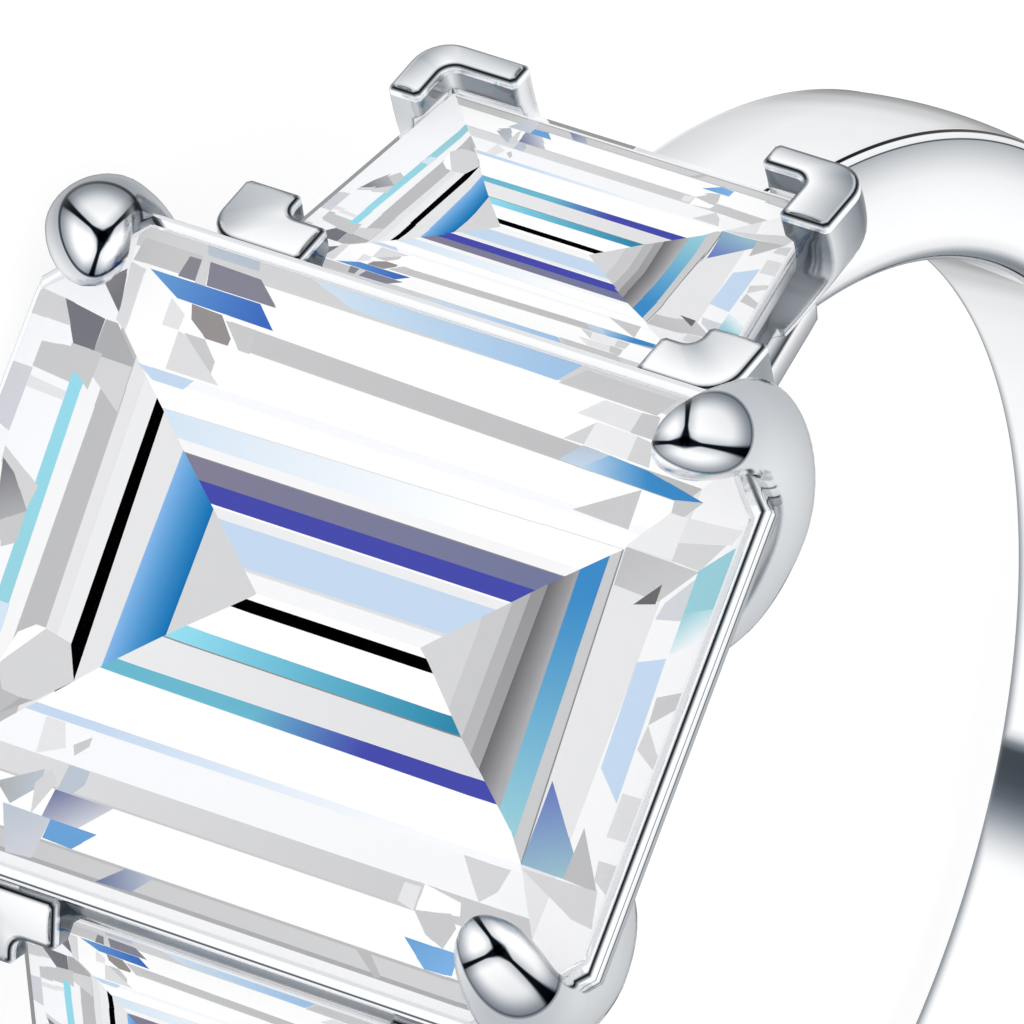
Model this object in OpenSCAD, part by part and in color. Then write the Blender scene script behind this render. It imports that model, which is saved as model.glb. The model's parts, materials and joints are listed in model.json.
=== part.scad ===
// Three-stone ring: an emerald-cut centre stone in round claws, and two tapered step-cut side stones in
// corner posts, on a plain domed shank. Millimetres. The ring lies on its side, as it rests on a table.

/* [Finger hole and shank] */
// Diameter of the finger hole
bore_d = 16.5; // [15:0.1:18]
// Width of the shank along the finger
shank_w = 2.2; // [2:0.1:3]
// Thickness of the shank round its lower part
shank_t = 1.45; // [1.3:0.05:1.6]
// Thickness of the shank under the head
head_t = 1.8; // [1.5:0.05:1.9]
// Radius of the flatter arcs in which the shoulders thicken towards the head
shoulder_r = 10.45; // [10.2:0.05:11]
// Angle from the head at which the shoulders start
shoulder_from = 130; // [110:1:150]
// Angle from the head at which the shoulders end under the side stones
shoulder_to = 24; // [20:1:30]
// Rise of the domed outer face over the side faces
shank_dome = 0.09; // [0.05:0.01:0.3]
// Width of the narrow bevel beside the dome
shank_bevel = 0.09; // [0.05:0.01:0.2]
// Rounding of the finger hole's two edges
bore_round = 0.25; // [0.1:0.05:0.4]

/* [Centre stone] */
// Width of the centre stone across the finger
centre_w = 8.25; // [7.5:0.05:8.5]
// Length of the centre stone along the finger
centre_l = 10.75; // [9.5:0.05:11]
// Corner cut of the centre stone, along each side
centre_cut = 1.2; // [0.8:0.1:1.6]
// Height of the centre stone's girdle over the middle of the finger hole
centre_z = 12.8; // [12.6:0.1:13.4]
// Height of the centre stone's crown
centre_crown = 0.8; // [0.6:0.05:1.2]
// Depth of the centre stone's pavilion
centre_pavilion = 3.2; // [2.8:0.1:3.3]

/* [Side stones] */
// Width of a side stone, away from the centre stone
side_w = 3.5; // [3:0.05:3.7]
// Length of a side stone at its edge next to the centre stone
side_near_l = 6.65; // [6:0.05:7]
// Length of a side stone at its outer edge
side_far_l = 5.55; // [5:0.05:6]
// Distance of a side stone's middle from the ring's middle plane
side_x = 5.85; // [5.8:0.05:6.2]
// Height of a side stone's girdle over the middle of the finger hole
side_z = 10.25; // [10.1:0.05:10.6]
// Slope of a side stone, down and away from the centre stone
side_tilt = 35; // [30:1:38]
// Height of a side stone's crown
side_crown = 0.4; // [0.3:0.05:0.5]
// Depth of a side stone's pavilion
side_pavilion = 1.4; // [1.2:0.05:1.5]

/* [Setting] */
// Gap left between a stone and the metal
seat_gap = 0.03; // [0.02:0.01:0.06]
// Clearance under the lower facets of a stone
under_gap = 0.15; // [0.1:0.05:0.2]
// Height of the rail under the centre stone's girdle
rail_h = 0.3; // [0.25:0.05:0.6]
// How far the rail stands out past the girdle, across the finger
rail_out_x = 0.12; // [0.06:0.02:0.3]
// How far the rail stands out past the girdle, along the finger
rail_out_y = 0.1; // [0.05:0.01:0.2]
// Thickness of the walls between the centre stone and the side stones
wall_t = 0.45; // [0.3:0.05:0.5]
// Height of the corner posts over the side stones' girdles
post_top = 0.55; // [0.45:0.05:0.7]

/* [Hidden] */

$fn = 96;
metal = "silver";
gem = "aliceblue";
girdle_t = 0.16;
bore_r = bore_d / 2;

// Crown and pavilion steps of a stone: columns are the share of the half width that the step goes in
// from the girdle, and the share of the crown's height or the pavilion's depth reached there
CENTRE_CROWN = [[0.13, 0.48], [0.29, 0.8], [0.45, 1]];
CENTRE_PAVILION = [[0.23, 0.36], [0.56, 0.72], [0.98, 1]];
SIDE_CROWN = [[0.2, 0.55], [0.44, 1]];
SIDE_PAVILION = [[0.3, 0.42], [0.96, 1]];

// Claw at one corner of the centre stone, from its foot in the shank to its tip over the crown: columns
// are x, y and z of the middle line, half the width across the finger and half the thickness
CLAW = [
    [0.50, 0.80, 8.95, 0.42, 0.34],
    [0.80, 1.80, 9.30, 0.46, 0.36],
    [1.35, 3.05, 9.80, 0.56, 0.38],
    [2.20, 4.10, 10.50, 0.70, 0.42],
    [3.10, 4.72, 11.35, 0.84, 0.46],
    [3.74, 4.98, 12.05, 0.88, 0.48],
    [3.98, 5.05, 12.65, 0.74, 0.50],
    [3.88, 4.95, 13.05, 0.64, 0.50],
    [3.62, 4.70, 13.30, 0.58, 0.48],
    [3.38, 4.46, 13.42, 0.46, 0.40],
    [3.22, 4.30, 13.45, 0.30, 0.28],
    [3.14, 4.22, 13.44, 0.12, 0.12]
];
CLAW_SIDES = 14;

// Corner post of a side stone, from its top down: columns are the height over the girdle, how far the
// post has moved in across the finger and along the finger, and the scale of its section
POST = [
    [0.0, 0.0, 0.0, 1.0],
    [-0.75, 0.0, 0.02, 1.0],
    [-1.25, 0.14, 0.28, 0.98],
    [-1.9, 0.42, 0.72, 0.92],
    [-2.7, 0.8, 1.3, 0.8]
];
post_edge = 1.3;    // length of the leg along the stone's long edge
post_end = 1.0;     // length of the leg along the stone's short end
post_tx = 0.38;     // thickness of the leg along the long edge
post_ty = 0.55;     // thickness of the leg along the short end
post_near = 0.22;   // how far the legs next to the centre stone reach in over the side stone
post_far = 0.02;    // how far the outer legs reach in over the side stone
post_r = 0.36;      // rounding of the outer corner

function unit(v) = v / norm(v);

// Octagon with half sides hx and hy and the corner cut c, at the height z, counter-clockwise from above
function octagon(hx, hy, c, z) = [
    [hx, -hy + c, z], [hx, hy - c, z], [hx - c, hy, z], [-hx + c, hy, z],
    [-hx, hy - c, z], [-hx, -hy + c, z], [-hx + c, -hy, z], [hx - c, -hy, z]
];

// Trapezoid of a side stone, moved in by d all round, at the height z: the long edge is at -x
function trapezoid(d, z) = let (
    hw = side_w / 2,
    slope = (side_near_l - side_far_l) / 2 / side_w,
    mid = (side_near_l + side_far_l) / 4,
    lean = sqrt(1 + slope * slope),
    y_at = function (x) mid - slope * x - d * lean
) [
    [hw - d, -y_at(hw - d), z], [hw - d, y_at(hw - d), z],
    [-hw + d, y_at(-hw + d), z], [-hw + d, -y_at(-hw + d), z]
];

// Octagon of the centre stone moved in by d, where the corner cuts shrink to the keel's ends
function centre_ring(d, z) = octagon(
    centre_w / 2 - d, centre_l / 2 - d, max(0.02, centre_cut * (1 - 2 * max(0, d) / centre_w)), z);

// Rings of a stone from its keel up: grow is a clearance all round, sink one under the lower steps
function centre_rings(grow, sink) = concat(
    [for (i = [len(CENTRE_PAVILION) - 1:-1:0]) centre_ring(
        CENTRE_PAVILION[i][0] * centre_w / 2 - grow - sink * CENTRE_PAVILION[i][1],
        -girdle_t / 2 - CENTRE_PAVILION[i][1] * centre_pavilion - grow - sink * CENTRE_PAVILION[i][1])],
    [centre_ring(-grow, -girdle_t / 2 - grow), centre_ring(-grow, girdle_t / 2 + grow)],
    [for (s = CENTRE_CROWN) centre_ring(
        s[0] * centre_w / 2 - grow, girdle_t / 2 + s[1] * centre_crown + grow)]
);

function side_rings(grow, sink) = concat(
    [for (i = [len(SIDE_PAVILION) - 1:-1:0]) trapezoid(
        SIDE_PAVILION[i][0] * side_w / 2 - grow - sink * SIDE_PAVILION[i][1],
        -girdle_t / 2 - SIDE_PAVILION[i][1] * side_pavilion - grow - sink * SIDE_PAVILION[i][1])],
    [trapezoid(-grow, -girdle_t / 2 - grow), trapezoid(-grow, girdle_t / 2 + grow)],
    [for (s = SIDE_CROWN) trapezoid(
        s[0] * side_w / 2 - grow, girdle_t / 2 + s[1] * side_crown + grow)]
);

// Solid through rings with the same number of points, each counter-clockwise seen from the last ring
module skin(rings) {
    n = len(rings[0]);
    m = len(rings);
    polyhedron(
        points = [for (r = rings) each r],
        faces = concat(
            [[for (i = [0:n - 1]) i]],
            [for (k = [0:m - 2], i = [0:n - 1])
                [k * n + i, (k + 1) * n + i, (k + 1) * n + (i + 1) % n, k * n + (i + 1) % n]],
            [[for (i = [n - 1:-1:0]) (m - 1) * n + i]]
        )
    );
}

// Rings of a claw at the corner (1, 1): the width lies nearest to x, the thickness across it
function claw_rings() = [
    for (i = [0:len(CLAW) - 1]) let (
        here = CLAW[i],
        p = [here[0], here[1], here[2]],
        a = CLAW[max(i - 1, 0)],
        b = CLAW[min(i + 1, len(CLAW) - 1)],
        t = unit([b[0] - a[0], b[1] - a[1], b[2] - a[2]]),
        thick = unit(cross(t, [-1, 1, 0])),
        wide = cross(thick, t)
    ) [for (k = [0:CLAW_SIDES - 1]) let (q = k * 360 / CLAW_SIDES)
        p + wide * here[3] * cos(q) + thick * here[4] * sin(q)]
];

// Section of a corner post about the stone's corner (cx, cy), with the stone towards -x and -y
function post_section(cx, cy, over, k) = let (
    ox = cx + post_tx * k, oy = cy + post_ty * k,
    ix = cx - over, iy = cy - over,
    end_y = oy - post_edge * k, end_x = ox - post_end * k
) concat(
    [[end_x, iy], [ix, iy], [ix, end_y], [ox - 0.08, end_y], [ox, end_y + 0.08]],
    [for (q = [0:30:90]) [ox - post_r + post_r * cos(q), oy - post_r + post_r * sin(q)]],
    [[end_x + 0.08, oy], [end_x, oy - 0.08]]
);

function post_rings(cx, cy, over) = [
    for (i = [len(POST) - 1:-1:0]) let (s = POST[i])
        [for (p = post_section(cx - s[1], cy - s[2], over, s[3])) [p[0], p[1], post_top + s[0]]]
];

// Domed outer profile of the shank for the outer radius r, filled in to the radius from: x is the
// distance from the axis, y runs along the finger
function band_profile(r, from) = let (
    hw = shank_w / 2,
    crown_hw = hw - shank_bevel,
    dome_r = (crown_hw * crown_hw + shank_dome * shank_dome) / 2 / shank_dome,
    half = asin(crown_hw / dome_r)
) concat(
    [[from, -hw], [r - shank_bevel, -hw]],
    [for (i = [-4:4]) let (q = half * i / 4) [r + shank_dome - dome_r + dome_r * cos(q), dome_r * sin(q)]],
    [[r - shank_bevel, hw], [from, hw]]
);

// Arc of the shank from the angle a0 to a1, measured from the head towards +x
module band(r, from, a0, a1) {
    rotate([90, 0, 0])
        rotate([0, 0, 90 - a1])
            rotate_extrude(angle = a1 - a0, $fn = 180)
                polygon(band_profile(r, from));
}

// Finger hole with rounded edges
module finger_hole() {
    hw = shank_w / 2;
    flare = bore_r + bore_round;
    rotate([90, 0, 0])
        rotate_extrude($fn = 180)
            polygon(concat(
                [[0, -hw - 1], [flare, -hw - 1]],
                [for (q = [270:-22.5:180]) [flare + bore_round * cos(q), -hw + bore_round + bore_round * sin(q)]],
                [for (q = [180:-22.5:90]) [flare + bore_round * cos(q), hw - bore_round + bore_round * sin(q)]],
                [[flare, hw + 1], [0, hw + 1]]
            ));
}

// Lower arc, two shoulder arcs that leave it in its own direction, and the arc under the head
module shank() {
    low_r = bore_r + shank_t;
    core = bore_r - 1;
    step = shoulder_r - low_r;
    arc_to = shoulder_to + asin(step * sin(shoulder_from - shoulder_to) / shoulder_r);
    difference() {
        union() {
            band(low_r, core, shoulder_from, 360 - shoulder_from);
            band(bore_r + head_t, core, -shoulder_to - 4, shoulder_to + 4);
            for (s = [0, 1])
                mirror([s, 0, 0])
                    translate([-step * sin(shoulder_from), 0, -step * cos(shoulder_from)])
                        band(shoulder_r, core + step, arc_to, shoulder_from);
        }
        finger_hole();
    }
}

// One claw for each corner of the centre stone
module claws() {
    for (sx = [0, 1], sy = [0, 1])
        mirror([sx, 0, 0])
            mirror([0, sy, 0])
                skin(claw_rings());
}

// Rail that carries the centre stone's girdle, with cut corners like the stone
module rail() {
    hx = centre_w / 2;
    hy = centre_l / 2;
    translate([0, 0, centre_z - girdle_t / 2 - seat_gap - rail_h])
        linear_extrude(rail_h)
            difference() {
                polygon([for (p = octagon(hx + rail_out_x, hy + rail_out_y, centre_cut, 0)) [p[0], p[1]]]);
                polygon([for (p = octagon(hx - 0.45, hy - 0.45, centre_cut, 0)) [p[0], p[1]]]);
            }
}

// Walls between the centre stone and the side stones, which narrow towards the shank
wall_half = 3.1;    // half the length along the finger, at the top
wall_knee = 11.2;   // height from which the wall narrows
wall_foot = 1.2;    // half the length at the foot
wall_low = 9;       // height of the foot, inside the shank

module walls() {
    top = centre_z - girdle_t / 2 - seat_gap - rail_h / 2;
    for (s = [-1, 1])
        translate([s * (centre_w - wall_t) / 2, 0, 0])
            rotate([90, 0, 90])
                linear_extrude(wall_t, center = true)
                    polygon([
                        [-wall_foot, wall_low], [wall_foot, wall_low], [wall_half, wall_knee],
                        [wall_half, top], [-wall_half, top], [-wall_half, wall_knee]
                    ]);
}

// Trough of a side stone's basket: a thin upper wall that is set back between the posts, and a lower
// rail that stands out again: columns are the inset from the stone's outline and the height
TROUGH = [[1.45, -2.5], [0.55, -1.6], [0.22, -0.5], [0.1, -0.42], [0, -0.36], [-0.03, -0.14]];
LOWER_RAIL = [[1.4, -2.6], [0.42, -1.9], [0.16, -1.38], [0.3, -1.2]];

// Basket of one side stone, in the stone's own frame with +x away from the centre stone
module side_basket() {
    skin([for (s = TROUGH) trapezoid(s[0], s[1])]);
    skin([for (s = LOWER_RAIL) trapezoid(s[0], s[1])]);
    for (m = [0, 1])
        mirror([0, m, 0]) {
            skin(post_rings(side_w / 2, side_far_l / 2, post_far));
            mirror([1, 0, 0])
                skin(post_rings(side_w / 2, side_near_l / 2, post_near));
        }
}

module at_side(s) {
    mirror([s < 0 ? 1 : 0, 0, 0])
        translate([side_x, 0, side_z])
            rotate([0, side_tilt, 0])
                children();
}

module metal_parts() {
    difference() {
        union() {
            shank();
            claws();
            rail();
            walls();
            for (s = [-1, 1])
                at_side(s)
                    side_basket();
        }
        translate([0, 0, centre_z])
            skin(centre_rings(seat_gap, under_gap));
        for (s = [-1, 1])
            at_side(s)
                skin(side_rings(seat_gap, under_gap));
    }
}

// Ring laid on its side, on the two claws at -y and the shank's lower edge: the finger's axis points up
// and leans by lie_tilt, the head lies towards -y, and the floor is at z = 0 under the ring's middle
claw_points = [for (r = claw_rings(), p = r) p];
edge_r = bore_r + shank_t - shank_bevel;
lie_tilt = max([for (p = claw_points) atan2(p[1] - shank_w / 2, p[2] + edge_r)]);

function laid_y(y, z) = y * sin(lie_tilt) - z * cos(lie_tilt);
function laid_z(y, z) = y * cos(lie_tilt) + z * sin(lie_tilt);

head_y = min([for (p = claw_points) laid_y(-p[1], p[2])]);
foot_y = max([for (p = band_profile(bore_r + shank_t, bore_r)) laid_y(p[1], -p[0])]);
floor_z = laid_z(-shank_w / 2, -edge_r);

module laid() {
    translate([0, -(head_y + foot_y) / 2, -floor_z])
        rotate([90 - lie_tilt, 0, 0])
            children();
}

module ring_mount() {
    color(metal)
        laid()
            metal_parts();
}

module centre_stone() {
    color(gem)
        laid()
            translate([0, 0, centre_z])
                skin(centre_rings(0, 0));
}

module side_stone(s) {
    color(gem)
        laid()
            at_side(s)
                skin(side_rings(0, 0));
}

ring_mount();
centre_stone();
side_stone(-1);  // side_stone_left
side_stone(1);  // side_stone_right
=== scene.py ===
"""Looks of the three-stone ring: polished mount, step-cut stones, a white studio and the camera.

Every size is in millimetres of the upright ring: X runs from side stone to side stone, Y along the
finger and Z out through the centre stone, with the origin in the middle of the finger hole. RingFrame
lays these points down onto the floor, in metres.
"""

import json
import logging
from dataclasses import dataclass
from enum import Enum
from math import asin, cos, pi, radians, sin, sqrt
from typing import Callable, Iterable, Sequence

import bmesh
import bpy
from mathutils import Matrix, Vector


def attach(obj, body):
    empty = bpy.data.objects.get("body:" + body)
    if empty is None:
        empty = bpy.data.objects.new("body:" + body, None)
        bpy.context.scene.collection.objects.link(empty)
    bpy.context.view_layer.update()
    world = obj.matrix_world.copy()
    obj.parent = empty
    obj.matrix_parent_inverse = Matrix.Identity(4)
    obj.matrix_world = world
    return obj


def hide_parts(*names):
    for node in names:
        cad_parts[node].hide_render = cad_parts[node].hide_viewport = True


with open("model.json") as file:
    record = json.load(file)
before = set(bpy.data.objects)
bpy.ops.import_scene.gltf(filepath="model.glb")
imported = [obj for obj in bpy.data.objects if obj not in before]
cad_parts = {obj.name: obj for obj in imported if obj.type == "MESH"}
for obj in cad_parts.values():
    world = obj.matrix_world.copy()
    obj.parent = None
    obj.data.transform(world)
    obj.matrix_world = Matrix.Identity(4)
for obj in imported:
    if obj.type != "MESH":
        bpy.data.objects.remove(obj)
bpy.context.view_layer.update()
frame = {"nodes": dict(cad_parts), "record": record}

LOG = logging.getLogger("ring")
MM = 0.001
# areas and distances below which a cut leaves nothing, in shares of a stone
SLIVER = 1e-8
TOUCH = 1e-9
Point2 = tuple[float, float]
Point3 = tuple[float, float, float]
Colour = tuple[float, float, float]
Polygon = list[Point2]


class Tone(Enum):
    """Tones of the painted reflections in the stones' facets, as display values from 0 to 255."""

    WHITE = (255, 255, 255)
    FROST = (248, 249, 252)
    SNOW = (246, 246, 247)
    PEARL = (237, 237, 238)
    PALE = (230, 230, 231)
    CLOUD = (222, 222, 224)
    SILVER = (213, 213, 214)
    GREY = (202, 202, 203)
    ASH = (190, 190, 191)
    STONE = (176, 176, 179)
    SMOKE = (140, 139, 141)
    FLINT = (120, 120, 128)
    SLATE = (108, 107, 109)
    BROWN = (150, 146, 146)
    MAUVE = (134, 128, 146)
    LILAC = (211, 212, 219)
    BLACK = (1, 1, 2)
    ICE = (214, 229, 243)
    SKY = (196, 216, 238)
    AZURE = (132, 182, 232)
    BLUE = (62, 138, 198)
    DEEP = (22, 112, 176)
    CYAN = (150, 222, 240)
    AQUA = (154, 206, 216)
    SEA = (48, 134, 168)
    POOL = (108, 184, 206)
    INDIGO = (72, 76, 170)
    ROYAL = (60, 102, 188)
    IRIS = (104, 120, 188)
    LAGOON = (156, 194, 205)
    CORN = (108, 162, 214)
    HAZE = (162, 197, 232)
    DUSK = (112, 120, 158)
    MIST = (187, 197, 209)
    HEATHER = (134, 134, 148)

    def linear(self) -> Colour:
        """Linear light of the tone."""
        return tuple(linear(v) for v in self.value)


def linear(value: float) -> float:
    """Linear light of a display value from 0 to 255."""
    v = max(0, value) / 255
    return v / 12.92 if v <= 0.04045 else ((v + 0.055) / 1.055) ** 2.4


def steel(value: float) -> Colour:
    """Linear colour of painted reflection and shade on polished metal at a display value: darker tones are
    bluer.
    """
    tint = 12 * sin(pi * min(1, value / 255)) * (1.25 - value / 255)
    return linear(value - tint * 0.8), linear(value), linear(value + tint * 0.8)


def along(tones: Sequence[float], t: float) -> float:
    """Value along a row of evenly spaced ones.

    Args:
        tones: the row.
        t: share of its length, from 0 to 1.

    Returns:
        The value there, evenly between its neighbours.
    """
    at = max(0, min(1, t)) * (len(tones) - 1)
    k = min(int(at), len(tones) - 2)
    return tones[k] + (tones[k + 1] - tones[k]) * (at - k)


class Side(Enum):
    """Sides of a stone: the picture's u runs from NEAR to FAR, its v from LEFT to RIGHT."""

    NEAR = (0, -1)
    FAR = (0, 1)
    LEFT = (1, -1)
    RIGHT = (1, 1)


@dataclass(frozen=True)
class RingFrame:
    """Place of the upright ring in the row's frame, read from the finger hole's mount."""

    origin: Vector
    along: Vector
    outward: Vector

    @classmethod
    def from_record(cls, record: dict) -> "RingFrame":
        """Reads the frame of the finger hole.

        Args:
            record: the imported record.

        Returns:
            The frame with Y on the finger's axis and Z through the head.
        """
        mount = next(m for m in record["mounts"] if m["name"] == "finger_bore")
        axis = Vector(mount["axis"]).normalized()
        return cls(Vector(mount["pos_m"]), axis, Vector((1, 0, 0)).cross(axis))

    def turn(self, v: Sequence[float]) -> Vector:
        """Direction of the upright ring in the row's frame."""
        return Vector((v[0], 0, 0)) + self.along * v[1] + self.outward * v[2]

    def place(self, p: Sequence[float]) -> Vector:
        """Point of the upright ring, from millimetres to the row's frame in metres."""
        return self.origin + self.turn(p) * MM


RING = RingFrame.from_record(frame["record"])


@dataclass(frozen=True)
class Seat:
    """Own frame of a stone: its middle on the girdle, and the slope of a side stone."""

    sign: int
    x: float
    z: float
    tilt: float

    def place(self, p: Sequence[float]) -> Vector:
        """Takes a point of the stone's frame, with +x away from the centre stone, to the upright ring.

        Args:
            p: the point in millimetres.

        Returns:
            The same point in the upright ring's frame.
        """
        a = radians(self.tilt)
        x = self.x + p[0] * cos(a) + p[2] * sin(a)
        return Vector((self.sign * x, p[1], self.z - p[0] * sin(a) + p[2] * cos(a)))


class Solid:
    """Mesh under construction, in millimetres of the upright ring."""

    def __init__(self, name: str, place: Callable[[Sequence[float]], Vector] = Vector) -> None:
        """Starts an empty mesh.

        Args:
            name: the piece's name.
            place: takes a point to the upright ring's frame.
        """
        self.name = name
        self.place = place
        self.bm = bmesh.new()
        self.tones = self.bm.loops.layers.float_color.new("tone")
        # tones of points: reflection and shade painted on the metal
        self.painted_light_and_shade: dict[bmesh.types.BMVert, Colour] = {}

    def points(self, row: Iterable[Sequence[float]], tones: Sequence[Colour] | None = None) -> list:
        """Adds points.

        Args:
            row: the points.
            tones: their tones, where they have them.

        Returns:
            Their vertices.
        """
        made = [self.bm.verts.new(RING.place(self.place(p))) for p in row]
        if tones is not None:
            self.painted_light_and_shade.update(zip(made, tones))
        return made

    def face(self, verts: list) -> None:
        """Adds one smooth face with its points' tones, white where there is none."""
        made = self.bm.faces.new(verts)
        made.smooth = True
        for loop in made.loops:
            loop[self.tones] = (*self.painted_light_and_shade.get(loop.vert, (1, 1, 1)), 1)

    def painted(self, corners: Sequence[Sequence[float]], tones: Sequence[Colour]) -> None:
        """Adds one flat face with a tone at each corner.

        Args:
            corners: its corners in order.
            tones: their linear colours.
        """
        made = self.bm.faces.new(self.points(corners))
        made.smooth = False
        for loop, tone in zip(made.loops, tones):
            loop[self.tones] = (*tone, 1)

    def bridge(self, low: list, high: list, closed: bool = True) -> None:
        """Adds the faces between two rows of vertices.

        Args:
            low: the first row.
            high: the second row, with as many vertices.
            closed: whether the rows' ends join.
        """
        n = len(low)
        for i in range(n if closed else n - 1):
            j = (i + 1) % n
            self.face([low[i], low[j], high[j], high[i]])

    def skin(self, rings: Sequence[Sequence[Sequence[float]]], closed: bool = False,
             tones: Sequence[Sequence[Colour]] | None = None) -> list:
        """Covers rings of points.

        Args:
            rings: rows with the same number of points.
            closed: whether the last ring joins the first, in place of two caps.
            tones: tones of the points, in the same rows.

        Returns:
            The rows' vertices.
        """
        rows = [self.points(r, tones[k] if tones else None) for k, r in enumerate(rings)]
        for low, high in list(zip(rows, rows[1:])) + ([(rows[-1], rows[0])] if closed else []):
            self.bridge(low, high)
        if not closed:
            self.face(list(reversed(rows[0])))
            self.face(rows[-1])
        return rows

    def finish(self, weld: float = 0.0002, recalc: bool = True) -> bpy.types.Object:
        """Closes the mesh and links its object.

        Args:
            weld: distance in millimetres under which points merge.
            recalc: whether the faces are turned outwards.

        Returns:
            The new object, at the origin.
        """
        bmesh.ops.remove_doubles(self.bm, verts=self.bm.verts, dist=weld * MM)
        if recalc:
            bmesh.ops.recalc_face_normals(self.bm, faces=self.bm.faces)
        mesh = bpy.data.meshes.new(self.name)
        self.bm.to_mesh(mesh)
        self.bm.free()
        made = bpy.data.objects.new(self.name, mesh)
        bpy.context.scene.collection.objects.link(made)
        return made


def apply_modifiers(piece: bpy.types.Object) -> None:
    """Replaces the piece's mesh by the result of its modifiers."""
    shown = piece.evaluated_get(bpy.context.evaluated_depsgraph_get())
    mesh = bpy.data.meshes.new_from_object(shown)
    piece.modifiers.clear()
    piece.data = mesh


def carve(piece: bpy.types.Object, cutters: Sequence[bpy.types.Object]) -> None:
    """Cuts the stones' seats out of a metal piece.

    Args:
        piece: the metal object.
        cutters: solids of the stones' seats.
    """
    for cutter in cutters:
        cut = piece.modifiers.new("seat", "BOOLEAN")
        cut.operation = "DIFFERENCE"
        cut.solver = "EXACT"
        cut.object = cutter
    apply_modifiers(piece)


def crease(piece: bpy.types.Object, angle: float = 32) -> None:
    """Marks edges steeper than the angle, in degrees, as sharp."""
    piece.data.set_sharp_from_angle(angle=radians(angle))


def smooth(rows: Sequence[Sequence[float]], between: int) -> list[tuple[float, ...]]:
    """Adds rows between the given ones, along a Catmull-Rom curve.

    Args:
        rows: rows of numbers of one length.
        between: number of steps from one row to the next.

    Returns:
        The given rows and the new ones, in order.
    """
    made = []
    for i in range(len(rows) - 1):
        a, b, c, d = rows[max(i - 1, 0)], rows[i], rows[i + 1], rows[min(i + 2, len(rows) - 1)]
        for k in range(between):
            t = k / between
            made.append(tuple(
                0.5 * (2 * q + (r - p) * t + (2 * p - 5 * q + 4 * r - s) * t * t
                       + (3 * q - p - 3 * r + s) * t ** 3) for p, q, r, s in zip(a, b, c, d)))
    return made + [rows[-1]]


@dataclass(frozen=True)
class Stone:
    """Sizes of one cut stone: half width, half length near and far, corner cut, crown and pavilion.

    The steps are pairs of an inset, as a share of the half width, and a height, as a share of the crown's
    or the pavilion's.
    """

    hx: float
    near: float
    far: float
    cut: float
    crown: float
    pavilion: float
    crown_steps: tuple[Point2, ...]
    pavilion_steps: tuple[Point2, ...]
    girdle: float = 0.16

    def half_length(self, x: float) -> float:
        """Half the length along the finger, at the place x across it."""
        return (self.near + self.far) / 2 + (self.far - self.near) / 2 * x / self.hx

    def outline(self, inset: float, z: float) -> list[Sequence[float]]:
        """Outline of the stone moved in all round.

        Args:
            inset: how far it is moved in, in millimetres.
            z: its height.

        Returns:
            Its corners, counter-clockwise from above.
        """
        x = self.hx - inset
        lean = sqrt(1 + ((self.near - self.far) / 2 / self.hx) ** 2)
        far = self.half_length(x) - inset * lean
        near = self.half_length(-x) - inset * lean
        if not self.cut:
            return [(x, -far, z), (x, far, z), (-x, near, z), (-x, -near, z)]
        c = max(0.02, self.cut * (1 - max(0, inset) / self.hx))
        return [(x, -far + c, z), (x, far - c, z), (x - c, far, z), (-x + c, near, z),
                (-x, near - c, z), (-x, -near + c, z), (-x + c, -near, z), (x - c, -far, z)]

    def rings(self, grow: float = 0, sink: float = 0) -> list[list[Sequence[float]]]:
        """Outlines of the stone's steps.

        Args:
            grow: how far they are grown all round.
            sink: how much deeper and wider the lowest step is, the others by their share.

        Returns:
            The outlines from the keel to the table.
        """
        half = self.girdle / 2
        low = [self.outline(i * self.hx - grow - sink * h, -half - h * self.pavilion - grow - sink * h)
               for i, h in reversed(self.pavilion_steps)]
        high = [self.outline(i * self.hx - grow, half + h * self.crown + grow) for i, h in self.crown_steps]
        return low + [self.outline(-grow, -half - grow), self.outline(-grow, half + grow)] + high


CENTRE = Stone(4.125, 5.375, 5.375, 1.2, 0.8, 3.2,
               ((0.13, 0.48), (0.29, 0.8), (0.45, 1)), ((0.23, 0.36), (0.56, 0.72), (0.98, 1)))
WING = Stone(1.75, 3.325, 2.775, 0, 0.4, 1.4,
             ((0.2, 0.55), (0.44, 1)), ((0.3, 0.42), (0.96, 1)))
CENTRE_SEAT = Seat(1, 0, 12.8, 0)
WING_SEATS = {"left": Seat(-1, 5.85, 10.25, 35), "right": Seat(1, 5.85, 10.25, 35)}


def clip(poly: Polygon, a: Point2, b: Point2) -> tuple[Polygon, Polygon]:
    """Cuts a polygon along the line through a and b.

    Args:
        poly: corners in order.
        a: first point of the line.
        b: second point of the line.

    Returns:
        The part to the left of the line and the part to its right.
    """
    def reach(p: Point2) -> float:
        """Signed distance to the line, times its length."""
        return (b[0] - a[0]) * (p[1] - a[1]) - (b[1] - a[1]) * (p[0] - a[0])

    left: Polygon = []
    right: Polygon = []
    for p, q in zip(poly, poly[1:] + poly[:1]):
        dp, dq = reach(p), reach(q)
        if dp >= -TOUCH:
            left.append(p)
        if dp <= TOUCH:
            right.append(p)
        if dp * dq < 0 and min(abs(dp), abs(dq)) > TOUCH:
            t = dp / (dp - dq)
            cross = (p[0] + (q[0] - p[0]) * t, p[1] + (q[1] - p[1]) * t)
            left.append(cross)
            right.append(cross)
    return left, right


def area(poly: Polygon) -> float:
    """Signed area of a polygon, positive counter-clockwise."""
    return sum(p[0] * q[1] - p[1] * q[0] for p, q in zip(poly, poly[1:] + poly[:1])) / 2


def whole(poly: Polygon) -> bool:
    """Whether a cut left more than a sliver of a polygon."""
    return len(poly) > 2 and abs(area(poly)) > SLIVER


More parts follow.
